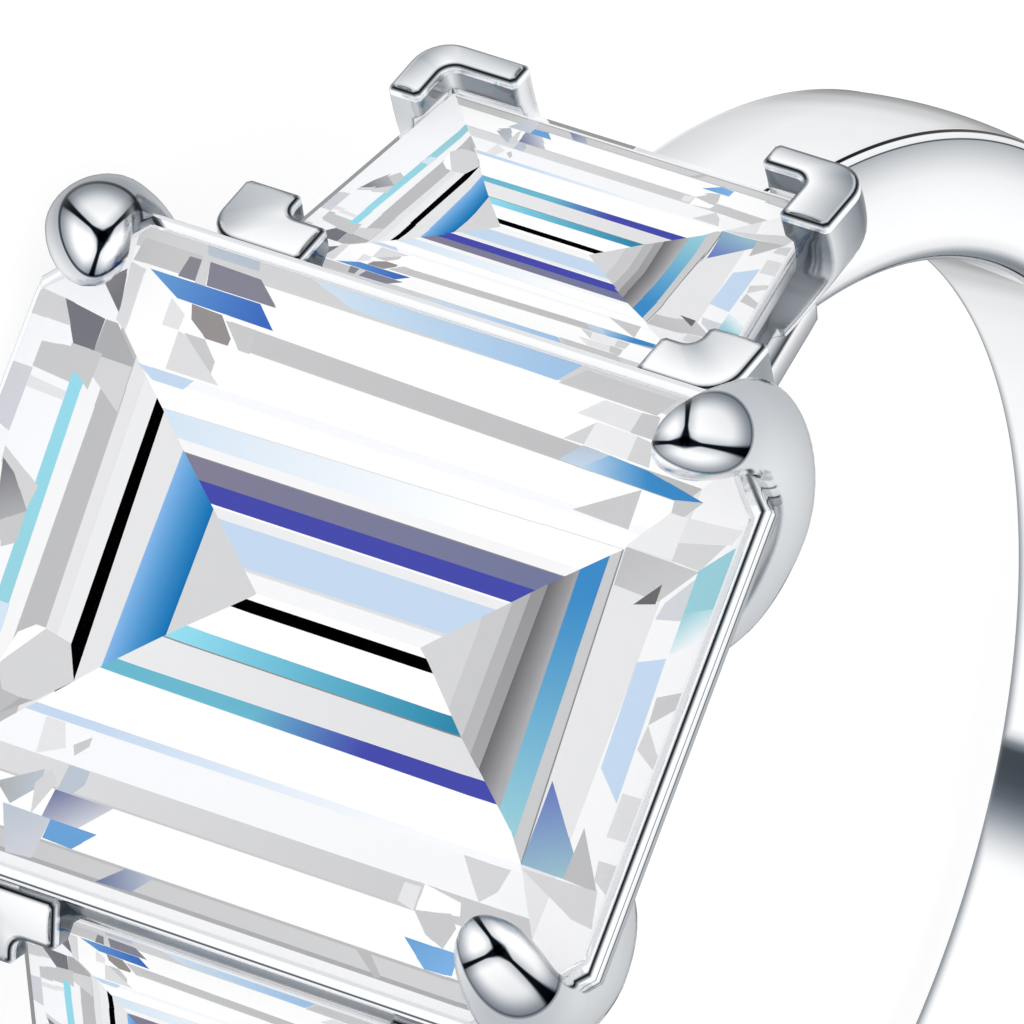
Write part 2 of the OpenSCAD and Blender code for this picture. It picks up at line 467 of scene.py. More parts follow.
def cut_all(facets: "Facets", a: Point2, b: Point2) -> "Facets":
    """Cuts every facet along the line through a and b and keeps both parts."""
    return [(part, paint) for poly, paint in facets for part in clip(poly, a, b) if whole(part)]


def bend(value: float, pairs: Sequence[Point2]) -> float:
    """Moves a value from the first places of pairs to their second ones.

    Args:
        value: the value.
        pairs: pairs of places, in order.

    Returns:
        The moved value, evenly between the pairs around it.
    """
    for (a, b), (c, d) in zip(pairs, pairs[1:]):
        if value <= c:
            break
    return b + (d - b) * (value - a) / (c - a)


@dataclass(frozen=True)
class Paint:
    """Tone of a facet, which may run to a second one between two points."""

    start: Tone
    end: Tone
    a: Point2 = (0, 0)
    b: Point2 = (1, 0)

    def at(self, p: Point2) -> Colour:
        """Mixes the two tones.

        Args:
            p: point of the picture.

        Returns:
            The linear colour there.
        """
        dx, dy = self.b[0] - self.a[0], self.b[1] - self.a[1]
        t = ((p[0] - self.a[0]) * dx + (p[1] - self.a[1]) * dy) / (dx * dx + dy * dy)
        t = min(1, max(0, t))
        return tuple(linear(u + (v - u) * t) for u, v in zip(self.start.value, self.end.value))


Facets = list[tuple[Polygon, Paint]]


@dataclass(frozen=True)
class Band:
    """Strip of the picture along one side, up to its outer edge.

    The edge is in millimetres of the centre stone from its middle, and the inner edge is the outer one of
    the strip before. The skew says how far the outer edge moves outwards from one end of the side to the
    other. The tone may run to a second one, along the side between two shares or across the strip, outwards.
    """

    end: float
    tone: Tone
    to: Tone | None = None
    skew: float = 0
    over: Point2 = (-0.75, 0.75)
    across: bool = False


@dataclass(frozen=True)
class Patch:
    """Convex facet of the picture, in millimetres of the centre stone: places across it and along it.

    The tone may run to a second one, from the first corner to the third.
    """

    tone: Tone
    corners: tuple[Point2, ...]
    to: Tone | None = None


T = Tone
# each side's first inner edge, and its strips outwards from there
BANDS: dict[Side, tuple[float, tuple[Band, ...]]] = {
    Side.NEAR: (0.1, (
        Band(0.4, T.SNOW), Band(0.44, T.CLOUD), Band(0.92, T.SKY), Band(1.04, T.PEARL),
        Band(1.065, T.WHITE), Band(1.3, T.INDIGO), Band(1.56, T.MAUVE, T.DUSK), Band(1.575, T.SMOKE),
        Band(1.714, T.SNOW), Band(2.05, T.ICE, T.WHITE, 0.16, (-0.6, 0.3)), Band(2.062, T.CLOUD, skew=0.16),
        Band(2.33, T.WHITE), Band(2.44, T.FROST), Band(2.94, T.WHITE, skew=-0.2),
        Band(3.213, T.GREY, T.ASH, -0.26), Band(3.83, T.WHITE), Band(4.125, T.SILVER))),
    Side.FAR: (-0.2, (
        Band(-0.08, T.WHITE), Band(0.075, T.BLACK), Band(0.503, T.WHITE, skew=0.08),
        Band(0.715, T.CYAN, T.SEA, 0.05, (-0.4, 0.4)), Band(0.733, T.SMOKE, skew=0.05),
        Band(1.175, T.PEARL, T.CLOUD), Band(1.38, T.POOL, T.INDIGO, 0.1, (-0.12, 0.2)),
        Band(2.03, T.WHITE), Band(2.14, T.SKY, T.FROST, -0.03, (-0.5, 0.35)), Band(2.64, T.FROST, T.SNOW),
        Band(2.97, T.CLOUD, T.GREY), Band(3.0, T.GREY), Band(3.66, T.WHITE), Band(3.7, T.ASH),
        Band(3.92, T.GREY, T.SILVER), Band(3.98, T.STONE), Band(4.125, T.SNOW))),
    Side.LEFT: (1.2, (
        Band(2.253, T.SILVER), Band(2.886, T.DEEP, T.AZURE, across=True), Band(3.215, T.PALE, skew=-0.32),
        Band(3.385, T.BLACK, skew=-0.22), Band(3.6, T.PEARL, skew=-0.27), Band(3.773, T.PALE, skew=-0.31),
        Band(4.11, T.ASH, skew=-0.2), Band(4.315, T.SNOW, skew=-0.33), Band(4.497, T.CYAN, T.AQUA, -0.28),
        Band(5.375, T.FROST))),
    Side.RIGHT: (1.0, (
        Band(1.9, T.SILVER), Band(2.27, T.GREY), Band(2.5, T.STONE, T.ASH), Band(2.7, T.SMOKE, T.STONE),
        Band(3.18, T.SLATE, T.STONE, 0.39, across=True), Band(3.565, T.BLUE, T.AQUA, 0.35, (-0.35, 0.4)),
        Band(3.755, T.GREY, skew=0.5), Band(3.78, T.SMOKE, skew=0.5), Band(4.5, T.PALE),
        Band(5.375, T.SNOW))),
}
PATCHES: tuple[Patch, ...] = (
    # left corner of the near side
    Patch(T.MIST, ((-4.16, -3.3), (-4.16, -2.5), (-3.98, -2.42), (-3.98, -3.25))),
    Patch(T.SILVER, ((-4.16, -2.5), (-4.16, -1.86), (-3.88, -1.81), (-3.88, -2.44))),
    Patch(T.GREY, ((-3.95, -4.2), (-3.95, -3.31), (-3.64, -3.34), (-3.64, -4.28))),
    Patch(T.SMOKE, ((-3.9, -3.5), (-3.9, -3.32), (-3.62, -3.34), (-3.62, -3.6)), T.HEATHER),
    Patch(T.SILVER, ((-3.98, -3.31), (-3.98, -3.19), (-3.36, -3.16), (-3.36, -3.36))),
    Patch(T.HEATHER, ((-3.91, -3.19), (-3.89, -2.41), (-3.61, -2.09), (-3.61, -3.16))),
    Patch(T.CORN, ((-3.6, -4.02), (-3.6, -2.33), (-3.325, -2.05), (-3.35, -3.53)), T.ROYAL),
    Patch(T.WHITE, ((-3.34, -3.6), (-3.34, -2.73), (-2.94, -2.4), (-2.9, -3.6))),
    Patch(T.GREY, ((-3.27, -2.76), (-3.27, -2.3), (-2.965, -2.3), (-2.965, -2.47))),
    Patch(T.WHITE, ((-3.58, -4.075), (-3.34, -3.6), (-2.98, -3.42), (-2.45, -3.44),
                    (-2.45, -3.81), (-2.76, -4.13))),
    Patch(T.CLOUD, ((-3.61, -4.32), (-3.58, -4.075), (-2.76, -4.13), (-2.87, -4.29))),
    Patch(T.PALE, ((-3.34, -3.61), (-3.18, -3.36), (-2.98, -3.39), (-2.98, -3.65))),
    Patch(T.BROWN, ((-3.34, -3.3), (-3.32, -2.83), (-3.07, -2.62), (-2.98, -2.64), (-2.98, -2.98),
                    (-3.15, -3.25))),
    Patch(T.GREY, ((-2.97, -3.3), (-2.97, -2.985), (-2.74, -2.76), (-2.58, -2.775))),
    Patch(T.CLOUD, ((-2.97, -3.39), (-2.95, -3.275), (-2.47, -2.62), (-2.47, -3.44))),
    Patch(T.SKY, ((-2.436, -3.83), (-2.436, -2.985), (-2.3, -3.12), (-2.3, -3.585))),
    # left side
    Patch(T.FROST, ((-4.1, -4.75), (-4.1, -4.3), (-2.8, -4.3), (-2.8, -4.75))),
    Patch(T.SILVER, ((-2.36, -4.7), (-2.36, -3.875), (-1.65, -3.85), (-1.65, -4.12),
                     (-1.91, -4.32), (-2.14, -4.39))),
    Patch(T.FLINT, ((-2.91, -5.0), (-2.825, -4.42), (-2.36, -4.41), (-2.36, -4.675))),
    Patch(T.STONE, ((-2.825, -4.41), (-2.825, -4.25), (-2.45, -3.875), (-2.36, -3.875), (-2.36, -4.41))),
    Patch(T.GREY, ((-2.31, -5.09), (-2.36, -4.675), (-2.14, -4.56), (-1.925, -4.56), (-1.97, -5.09))),
    Patch(T.SILVER, ((-2.95, -5.39), (-2.91, -5.0), (-2.6, -4.81), (-2.6, -5.36))),
    Patch(T.GREY, ((-2.4, -4.72), (-2.16, -4.66), (-1.9, -4.31), (-2.4, -4.3))),
    Patch(T.SMOKE, ((-3.29, -4.63), (-3.51, -4.33), (-3.17, -4.3), (-2.96, -4.29)), T.FLINT),
    Patch(T.LILAC, ((-1.95, -5.36), (-1.95, -5.075), (-1.09, -5.075), (-1.2, -5.36))),
    Patch(T.PALE, ((-1.85, -5.07), (-1.8, -4.56), (-1.68, -4.56), (-1.7, -5.07))),
    Patch(T.SILVER, ((-0.9, -5.05), (-0.55, -4.46), (-0.2, -4.5), (-0.7, -5.03))),
    Patch(T.FLINT, ((-0.75, -5.02), (-0.61, -4.81), (-0.2, -4.48), (0.02, -4.775), (-0.34, -4.92)), T.STONE),
    Patch(T.GREY, ((0.02, -4.775), (-0.2, -4.49), (0.22, -4.47), (0.33, -4.64))),
    Patch(T.ICE, ((0.98, -4.5), (0.98, -4.26), (1.35, -4.24), (1.3, -4.4))),
    Patch(T.SILVER, ((1.11, -3.76), (1.19, -3.36), (1.63, -3.15), (2.05, -3.56), (2.02, -3.975),
                     (1.74, -4.14))),
    Patch(T.WHITE, ((1.275, -4.05), (1.11, -3.86), (1.11, -3.72), (1.72, -4.14))),
    Patch(T.STONE, ((2.33, -3.92), (2.05, -3.72), (2.03, -3.56))),
    # right corner of the near side
    Patch(T.ICE, ((-4.1, -1.7), (-4.1, 2.4), (-3.82, 2.1), (-3.88, -1.0)), T.HAZE),
    Patch(T.GREY, ((-4.06, 2.48), (-4.04, 3.84), (-3.78, 3.61), (-3.8, 2.125))),
    Patch(T.PALE, ((-3.77, 2.84), (-3.76, 3.4), (-3.49, 3.325), (-3.52, 2.5))),
    Patch(T.GREY, ((-3.76, 3.4), (-3.78, 3.66), (-3.49, 3.64), (-3.49, 3.3))),
    Patch(T.SILVER, ((-3.49, 2.8), (-3.17, 2.7), (-3.17, 2.39), (-3.29, 2.55))),
    Patch(T.PEARL, ((-3.49, 2.8), (-3.48, 3.41), (-3.16, 3.36), (-3.17, 2.7))),
    Patch(T.SILVER, ((-3.48, 3.41), (-3.45, 3.66), (-3.15, 3.68), (-3.16, 3.35))),
    Patch(T.MIST, ((-3.16, 2.7), (-3.15, 3.1), (-2.9, 2.77), (-2.91, 2.41)), T.SKY),
    Patch(T.SKY, ((-2.9, 2.725), (-3.15, 3.1), (-3.11, 3.69), (-2.94, 4.6), (-2.87, 4.15)), T.BLUE),
    Patch(T.GREY, ((-2.38, 2.77), (-2.87, 3.66), (-2.35, 3.61))),
    Patch(T.GREY, ((-2.87, 4.15), (-2.94, 4.6), (-2.7, 4.39), (-2.71, 4.17))),
    Patch(T.PEARL, ((-2.7, 4.17), (-2.7, 4.45), (-2.15, 4.45), (-2.16, 3.66))),
    Patch(T.PALE, ((-2.7, 4.45), (-2.75, 5.36), (-2.54, 5.28), (-2.38, 4.45))),
    Patch(T.SILVER, ((-2.38, 4.45), (-2.52, 5.2), (-2.11, 4.925), (-2.14, 4.45))),
    # right side
    Patch(T.ASH, ((-2.15, 3.67), (-2.1, 4.925), (-1.6, 4.47), (-1.65, 3.7)), T.GREY),
    Patch(T.SLATE, ((-1.48, 4.11), (-1.825, 4.44), (-1.56, 4.45))),
    Patch(T.LILAC, ((-1.61, 4.58), (-2.0, 4.91), (-1.45, 4.94), (-1.38, 4.525))),
    Patch(T.AQUA, ((-2.11, 4.91), (-2.54, 5.37), (-1.72, 5.38), (-1.55, 4.93))),
    Patch(T.AQUA, ((-1.55, 4.93), (-1.72, 5.38), (-1.31, 5.38), (-1.0, 4.94)), T.FROST),
    Patch(T.SKY, ((-0.8, 4.49), (-0.95, 4.925), (0.96, 5.0), (0.59, 4.55))),
    Patch(T.GREY, ((-0.45, 5.0), (-0.61, 5.38), (-0.39, 5.38), (-0.09, 5.03))),
    Patch(T.SILVER, ((-0.09, 5.03), (0.275, 5.38), (0.44, 5.38), (0.24, 5.0))),
    Patch(T.CLOUD, ((0.81, 5.03), (0.81, 5.38), (1.39, 5.38), (1.39, 5.03))),
    Patch(T.SILVER, ((1.7, 5.05), (1.7, 5.38), (2.1, 5.38), (1.95, 5.1))),
    Patch(T.IRIS, ((0.92, 3.89), (1.72, 4.64), (2.05, 4.61), (2.03, 3.89)), T.LAGOON),
    Patch(T.ASH, ((1.36, 4.64), (2.09, 5.21), (2.05, 4.61))),
    Patch(T.SILVER, ((2.075, 3.89), (2.075, 5.21), (2.66, 5.37), (2.5, 4.97), (2.44, 4.45))),
    # far side
    Patch(T.PALE, ((2.16, -3.31), (2.16, -3.01), (2.46, -2.84), (2.64, -3.2))),
    Patch(T.GREY, ((2.39, -2.76), (2.22, -2.56), (2.35, -2.54), (2.52, -2.675))),
    Patch(T.STONE, ((3.14, -3.53), (2.8, -2.975), (3.0, -2.9), (3.36, -3.2)), T.MIST),
    Patch(T.SILVER, ((3.0, -3.01), (2.775, -2.89), (2.9, -2.72), (3.4, -2.86))),
    Patch(T.MIST, ((2.65, -2.675), (2.65, -2.36), (2.83, -2.34), (3.16, -2.56), (3.0, -2.675))),
    Patch(T.DUSK, ((3.0, -2.7), (3.0, -1.81), (3.385, -2.14), (3.385, -2.7)), T.LILAC),
    Patch(T.MIST, ((3.375, -3.3), (3.385, -2.56), (3.94, -2.56), (3.97, -2.94)), T.LILAC),
    Patch(T.CORN, ((3.385, -2.56), (3.385, -1.85), (3.66, -2.09), (3.64, -2.55)), T.CORN),
    Patch(T.DUSK, ((3.96, -1.56), (3.675, -1.25), (3.675, -0.81), (3.94, -1.03)), T.MIST),
    Patch(T.PALE, ((2.69, 2.45), (2.69, 2.69), (3.0, 2.75), (2.94, 2.48))),
    Patch(T.WHITE, ((2.64, 2.72), (2.72, 3.3), (2.89, 3.38), (2.98, 2.77))),
    Patch(T.GREY, ((3.0, 2.77), (2.89, 3.25), (3.05, 3.41), (3.35, 3.37), (3.24, 3.06))),
    Patch(T.CORN, ((3.35, 2.8), (3.35, 3.61), (3.64, 3.66), (3.66, 3.27)), T.AZURE),
    Patch(T.SILVER, ((2.13, 3.025), (2.13, 3.78), (2.44, 3.7), (2.64, 3.525), (2.42, 3.3))),
    Patch(T.ASH, ((3.675, 2.225), (3.675, 2.46), (3.94, 2.77), (3.97, 2.69))),
)


@dataclass(frozen=True)
class Picture:
    """Picture of painted reflections in facets inside a stone, laid on a shallow hollow with a roof's hips
    under the crown.

    Its places are shares of the centre stone's half sizes. The pairs move them to this stone's own
    shares: first a place across or along the centre stone, then where it lies here. The mitres part the
    four sides, the extra places cut long facets, and across_parts is the number of steps of a strip whose
    tone runs outwards.
    """

    depth: float
    ratio: float
    across: tuple[Point2, ...] = ((-1, -1), (-0.58, -0.58), (-0.044, -0.044), (0.5, 0.5), (1, 1))
    along: tuple[Point2, ...] = ((-1, -1), (-0.7, -0.7), (-0.25, -0.25), (0.213, 0.213), (0.7, 0.7), (1, 1))
    mitres: tuple[tuple[Point2, ...], ...] = (
        ((-0.044, -0.25), (-0.386, -0.537), (-0.594, -0.709), (-1, -1)),
        ((-0.044, 0.213), (-0.37, 0.528), (-0.513, 0.681), (-1, 1)),
        ((-0.044, 0.213), (0.18, 0.422), (0.406, 0.66), (0.498, 0.728), (1, 1)),
        ((-0.044, -0.25), (0.166, -0.419), (0.323, -0.537), (0.5, -0.657), (1, -1)))
    extra: tuple[float, ...] = (-0.85, -0.45, -0.1, 0.1, 0.45, 0.85)
    across_parts: int = 4

    def drop(self, p: Point2) -> float:
        """Depth of the hollow at a point of the stone, as a share of the whole depth."""
        return min(1 - abs(p[0]), self.ratio * (1 - abs(p[1])))

    def place(self, p: Point2, back: bool = False) -> Point2:
        """Moves a point from the centre stone's shares to this stone's.

        Args:
            p: the point.
            back: whether it is moved the other way round.

        Returns:
            The moved point.
        """
        step = -1 if back else 1
        return (bend(p[0], [pair[::step] for pair in self.across]),
                bend(p[1], [pair[::step] for pair in self.along]))

    def sector(self, side: Side) -> Polygon:
        """Finds one side's part of the picture, between two of its mitres.

        Args:
            side: the side.

        Returns:
            The part's corners, counter-clockwise.
        """
        first, second = {Side.NEAR: (0, 1), Side.RIGHT: (1, 2), Side.FAR: (2, 3), Side.LEFT: (3, 0)}[side]
        poly = list(self.mitres[first]) + list(reversed(self.mitres[second]))
        clean = [p for i, p in enumerate(poly) if p != poly[i - 1]]
        return clean if area(clean) > 0 else clean[::-1]

    def strips(self) -> Facets:
        """Cuts every side's part into its strips.

        Returns:
            The strips as flat polygons with their paint.
        """
        made: Facets = []
        for side, (place, bands) in BANDS.items():
            sector = self.sector(side)
            skew: float = 0
            for band in bands:
                parts = self.across_parts if band.across else 1
                lines = [self._line(side, place + (band.end - place) * k / parts,
                                    skew + (band.skew - skew) * k / parts) for k in range(parts + 1)]
                paint = self._paint(side, band, lines[0], lines[-1])
                for inner, outer in zip(lines, lines[1:]):
                    keep = self._beyond(self._beyond(sector, side, inner, True), side, outer, False)
                    if len(keep) > 2:
                        made.append((keep, paint))
                place, skew = band.end, band.skew
        return made

    @staticmethod
    def _line(side: Side, place: float, skew: float) -> tuple[Point2, Point2]:
        """Finds two points of a line along a side.

        Args:
            side: the side.
            place: the line's distance outwards from the middle, in millimetres of the centre stone.
            skew: how far it moves outwards from one end of the side to the other.

        Returns:
            The points in shares of the centre stone.
        """
        axis, sign = side.value
        size = CENTRE.hx if axis == 0 else CENTRE.near
        low, high = ((place + skew * e / 2) * sign / size for e in (-1, 1))
        return ((low, -1), (high, 1)) if axis == 0 else ((-1, low), (1, high))

    @staticmethod
    def _beyond(poly: Polygon, side: Side, line: tuple[Point2, Point2], outside: bool) -> Polygon:
        """Cuts a polygon along a line.

        Args:
            poly: the polygon.
            side: side of the picture that the line runs along.
            line: two points of the line.
            outside: whether the part towards the girdle is kept, not the one towards the keel.

        Returns:
            The kept part, empty where nothing is left.
        """
        if len(poly) < 3:
            return []
        axis, sign = side.value
        left, right = clip(poly, *line)
        left_is_out = (-1 if axis == 0 else 1) == sign
        return left if left_is_out == outside else right

    @staticmethod
    def _paint(side: Side, band: Band, inner: tuple[Point2, Point2], outer: tuple[Point2, Point2]) -> Paint:
        """Makes a strip's paint, which runs along the side or outwards.

        Args:
            side: the side.
            band: the strip.
            inner: two points of its inner edge.
            outer: two points of its outer edge.

        Returns:
            The paint.
        """
        end = band.to or band.tone
        if not band.across:
            a, b = (((0, v) if side.value[0] == 0 else (v, 0)) for v in band.over)
            return Paint(band.tone, end, a, b)
        mid = [tuple((p + q) / 2 for p, q in zip(*line)) for line in (inner, outer)]
        return Paint(band.tone, end, mid[0], mid[1])

    def facets(self, border: Polygon) -> list[tuple[Polygon, list[Colour]]]:
        """Strips and patches as flat polygons that don't overlap, with a tone at each corner.

        Args:
            border: outline of the stone in its own shares, counter-clockwise.

        Returns:
            Polygons in the stone's own shares, each with its corners' linear colours.
        """
        found = self.strips()
        for patch in PATCHES:
            corners = [(x / CENTRE.hx, y / CENTRE.near) for x, y in patch.corners]
            paint = Paint(patch.tone, patch.to or patch.tone, corners[0], corners[2])
            found = self._covered(found, corners if area(corners) > 0 else corners[::-1], paint)
        for at, _ in self.across[1:-1]:
            found = cut_all(found, (at, -1), (at, 1))
        for at in [pair[0] for pair in self.along[1:-1]] + list(self.extra):
            found = cut_all(found, (-1, at), (1, at))
        found = [([self.place(p) for p in poly], paint) for poly, paint in found]
        ridge = 1 - 1 / self.ratio
        found = cut_all(found, (0, -1), (0, 1))
        for u in (-1, 1):
            for v in (-1, 1):
                found = cut_all(found, (0, v * ridge), (u, v))
        for a, b in zip(border, border[1:] + border[:1]):
            found = [(clip(poly, a, b)[0], paint) for poly, paint in found]
            found = [(poly, paint) for poly, paint in found if whole(poly)]
        return [(poly, [paint.at(self.place(p, back=True)) for p in poly]) for poly, paint in found]

    @staticmethod
    def _covered(facets: Facets, corners: Polygon, paint: Paint) -> Facets:
        """Lays a convex patch over facets.

        Args:
            facets: the facets.
            corners: the patch's corners, counter-clockwise.
            paint: its paint.

        Returns:
            The facets around the patch and the patch in their place.
        """
        rest: Facets = []
        for poly, old in facets:
            inside = poly
            for a, b in zip(corners, corners[1:] + corners[:1]):
                inside, outside = clip(inside, a, b)
                if whole(outside):
                    rest.append((outside, old))
                if len(inside) < 3:
                    break
            if whole(inside):
                rest.append((inside, paint))
        return rest


def new_material(name: str) -> tuple[bpy.types.Material, bpy.types.Node]:
    """Makes a node material.

    Args:
        name: its name.

    Returns:
        The material and its Principled shader.
    """
    made = bpy.data.materials.new(name)
    made.use_nodes = True
    return made, made.node_tree.nodes["Principled BSDF"]


class Graph:
    """Adds nodes to a node tree; what they are fed may be a number, a vector or a socket."""

    def __init__(self, tree: bpy.types.NodeTree) -> None:
        """Keeps the tree."""
        self.tree = tree

    def fill(self, node: bpy.types.Node, values: dict[int | str, object]) -> bpy.types.Node:
        """Sets or links a node's inputs.

        Args:
            node: the node.
            values: what the inputs get, by their names or numbers.

        Returns:
            The same node.
        """
        for key, value in values.items():
            if isinstance(value, bpy.types.NodeSocket):
                self.tree.links.new(value, node.inputs[key])
            else:
                node.inputs[key].default_value = value
        return node

    def node(self, kind: str, values: dict[int | str, object] | None = None,
             **settings: object) -> bpy.types.Node:
        """Adds a node.

        Args:
            kind: its type.
            values: what its inputs get, by their names or numbers.
            settings: its own properties.

        Returns:
            The new node.
        """
        made = self.tree.nodes.new(kind)
        for key, value in settings.items():
            setattr(made, key, value)
        return self.fill(made, values or {})

    def math(self, operation: str, *values: object) -> bpy.types.NodeSocket:
        """One sum of numbers."""
        return self.node("ShaderNodeMath", dict(enumerate(values)), operation=operation).outputs[0]

    def vector(self, operation: str, a: object, b: object) -> bpy.types.NodeSocket:
        """One sum of two vectors."""
        return self.node("ShaderNodeVectorMath", {0: a, 1: b}, operation=operation).outputs[0]

    def dot(self, a: object, b: object) -> bpy.types.NodeSocket:
        """Product of two vectors."""
        return self.node("ShaderNodeVectorMath", {0: a, 1: b}, operation="DOT_PRODUCT").outputs["Value"]

    def length(self, a: object, b: object) -> bpy.types.NodeSocket:
        """Length of a flat vector with the given parts."""
        squares = self.math("MULTIPLY", a, a), self.math("MULTIPLY", b, b)
        return self.math("SQRT", self.math("ADD", *squares))

    def ramp(self, value: object, low: object, high: object, start: object = 0,
             end: object = 1) -> bpy.types.NodeSocket:
        """Smooth change from start at low to end at high."""
        values = {"Value": value, "From Min": low, "From Max": high, "To Min": start, "To Max": end}
        return self.node("ShaderNodeMapRange", values, interpolation_type="SMOOTHSTEP").outputs["Result"]

    def mix(self, share: object, low: object, high: object) -> bpy.types.NodeSocket:
        """Blend of two numbers."""
        return self.node("ShaderNodeMix", {0: share, 2: low, 3: high}).outputs[0]


class NodeGroup:
    """Shader group, built once and shared by the materials that use it."""

    NAME = ""
    INPUTS: tuple[tuple[str, str, object], ...] = ()
    OUTPUTS: tuple[tuple[str, str], ...] = ()

    @classmethod
    def get(cls) -> bpy.types.NodeTree:
        """Finds the group, and builds it on first use.

        Returns:
            The group's tree, with its named inputs and outputs.
        """
        found = bpy.data.node_groups.get(cls.NAME)
        if found:
            return found
        tree = bpy.data.node_groups.new(cls.NAME, "ShaderNodeTree")
        for name, kind, value in cls.INPUTS:
            socket = tree.interface.new_socket(name, in_out="INPUT", socket_type=f"NodeSocket{kind}")
            if value is not None:
                socket.default_value = value
        for name, kind in cls.OUTPUTS:
            tree.interface.new_socket(name, in_out="OUTPUT", socket_type=f"NodeSocket{kind}")
        graph = Graph(tree)
        cls.wire(graph, graph.node("NodeGroupInput"), graph.node("NodeGroupOutput"))
        return tree

    @classmethod
    def wire(cls, graph: Graph, start: bpy.types.Node, end: bpy.types.Node) -> None:
        """Adds the group's own nodes between its inputs and its outputs."""
        raise NotImplementedError


class PolishGroup(NodeGroup):
    """Shader group of hand-polished metal: soft clouds in tone, and hairlines in the gloss."""

    NAME = "polish"
    INPUTS = (("Light", "Color", (0.9, 0.91, 0.93, 1)), ("Shade", "Color", (0.8, 0.82, 0.85, 1)),
              ("Gloss", "Float", 0.05))
    OUTPUTS = (("Tone", "Color"), ("Roughness", "Float"))
    CLOUD_SCALE = 900
    HAIR_SCALE = 2600
    HAIR_STRETCH = (1, 14, 3)
    HAIR_GLOSS = 0.03

    @classmethod
    def wire(cls, graph: Graph, start: bpy.types.Node, end: bpy.types.Node) -> None:
        """Adds the clouds and the hairlines.

        Args:
            graph: the group's tree.
            start: node with the group's inputs.
            end: node with the group's outputs.
        """
        where = graph.node("ShaderNodeTexCoord").outputs["Object"]
        clouds = graph.node("ShaderNodeTexNoise", {"Vector": where, "Scale": cls.CLOUD_SCALE, "Detail": 3})
        tone = graph.node("ShaderNodeMix", {0: clouds.outputs["Fac"], 6: start.outputs["Shade"],
                                            7: start.outputs["Light"]}, data_type="RGBA")
        stretch = graph.node("ShaderNodeMapping", {"Vector": where, "Scale": cls.HAIR_STRETCH})
        hair = graph.node("ShaderNodeTexNoise", {"Vector": stretch.outputs["Vector"],
                                                 "Scale": cls.HAIR_SCALE, "Detail": 4})
        rough = graph.math("MULTIPLY_ADD", hair.outputs["Fac"], cls.HAIR_GLOSS, start.outputs["Gloss"])
        graph.fill(end, {"Tone": tone.outputs[2], "Roughness": rough})


class CapGroup(NodeGroup):
    """Shader group of a painted reflection on a claw's polished cap: a dark egg-shaped outline and three
    bright panels parted by dark lines.

    Places are in the object's own millimetres, laid onto the cap along one fixed direction. Each ramp below
    is low, high, and the values there.
    """

    NAME = "claw_cap"
    LINES = (1, 2, 3)
    INPUTS = tuple((name, "Vector", None) for name in (
        "Egg", "Long", "Short", "Junction", "Line 1", "Side 1", "Line 2", "Side 2", "Line 3", "Side 3",
        "Facing")) + (("Half Length", "Float", 0.65), ("Half Width", "Float", 0.5), ("Taper", "Float", 0.25),
                      ("Outline", "Float", 0.1), ("Outside", "Float", 0.5))
    OUTPUTS = (("Shade", "Float"),)
    DOME = (1.0, 0.55, 0.34, 1.2)
    FRONT = (-0.03, 0.03)
    HALO = (0.0, 0.17, 0.55, 1)
    FLARE = 0.13
    THICK = (0.22, 0.02, 0.024, 0.07)
    CORE = (0.6, 1.35, 0.01, 1)
    MIDDLE = (0.03, 0.1, 0.02, 1)
    OUTLINE = (0.012, 0.05)
    BORDER = (0.995, 1.005)
    BEYOND = (1, 1.5)
    TURNED = (0.05, 0.15)

    @classmethod
    def wire(cls, graph: Graph, start: bpy.types.Node, end: bpy.types.Node) -> None:
        """Adds the painted outline, the painted dark lines between the panels and their meeting point.

        Args:
            graph: the group's tree.
            start: node with the group's inputs.
            end: node with the group's outputs.
        """
        given = start.outputs
        where = graph.node("ShaderNodeTexCoord")
        spot = graph.node("ShaderNodeVectorMath", {0: where.outputs["Object"], "Scale": 1 / MM},
                          operation="SCALE").outputs[0]

        def along(origin: str, direction: str) -> bpy.types.NodeSocket:
            """Place along a direction, measured from one of the inputs."""
            return graph.dot(graph.vector("SUBTRACT", spot, given[origin]), given[direction])

        share = graph.math("DIVIDE", along("Egg", "Long"), given["Half Length"])
        taper = graph.math("SUBTRACT", 1, graph.math("MULTIPLY", share, given["Taper"]))
        wide = graph.math("MULTIPLY", given["Half Width"], taper)
        reach = graph.length(share, graph.math("DIVIDE", along("Egg", "Short"), wide))
        shade = graph.ramp(reach, *cls.DOME)
        for k in cls.LINES:
            ahead = along("Junction", f"Line {k}")
            off = graph.math("ABSOLUTE", along("Junction", f"Side {k}"))
            front = graph.ramp(ahead, *cls.FRONT)
            flare = graph.math("POWER", graph.math("ABSOLUTE", ahead), 3)
            thick = graph.math("MULTIPLY_ADD", flare, cls.FLARE, graph.ramp(ahead, *cls.THICK))
            core = graph.ramp(graph.math("DIVIDE", off, thick), *cls.CORE)
            for dark in (graph.ramp(off, *cls.HALO), core):
                shade = graph.math("MULTIPLY", shade, graph.mix(front, 1, dark))
        middle = graph.length(along("Junction", "Line 1"), along("Junction", "Side 1"))
        shade = graph.math("MULTIPLY", shade, graph.ramp(middle, *cls.MIDDLE))
        rim = graph.math("ABSOLUTE", graph.math("SUBTRACT", reach, 1))
        outside = graph.ramp(reach, *cls.BEYOND, given["Outside"], 1)
        shade = graph.mix(graph.ramp(reach, *cls.BORDER), shade, outside)
        shade = graph.math("MULTIPLY", shade, graph.ramp(rim, *cls.OUTLINE, given["Outline"], 1))
        normal = graph.dot(where.outputs["Normal"], given["Facing"])
        graph.fill(end, {"Shade": graph.mix(graph.ramp(normal, *cls.TURNED), 1, shade)})


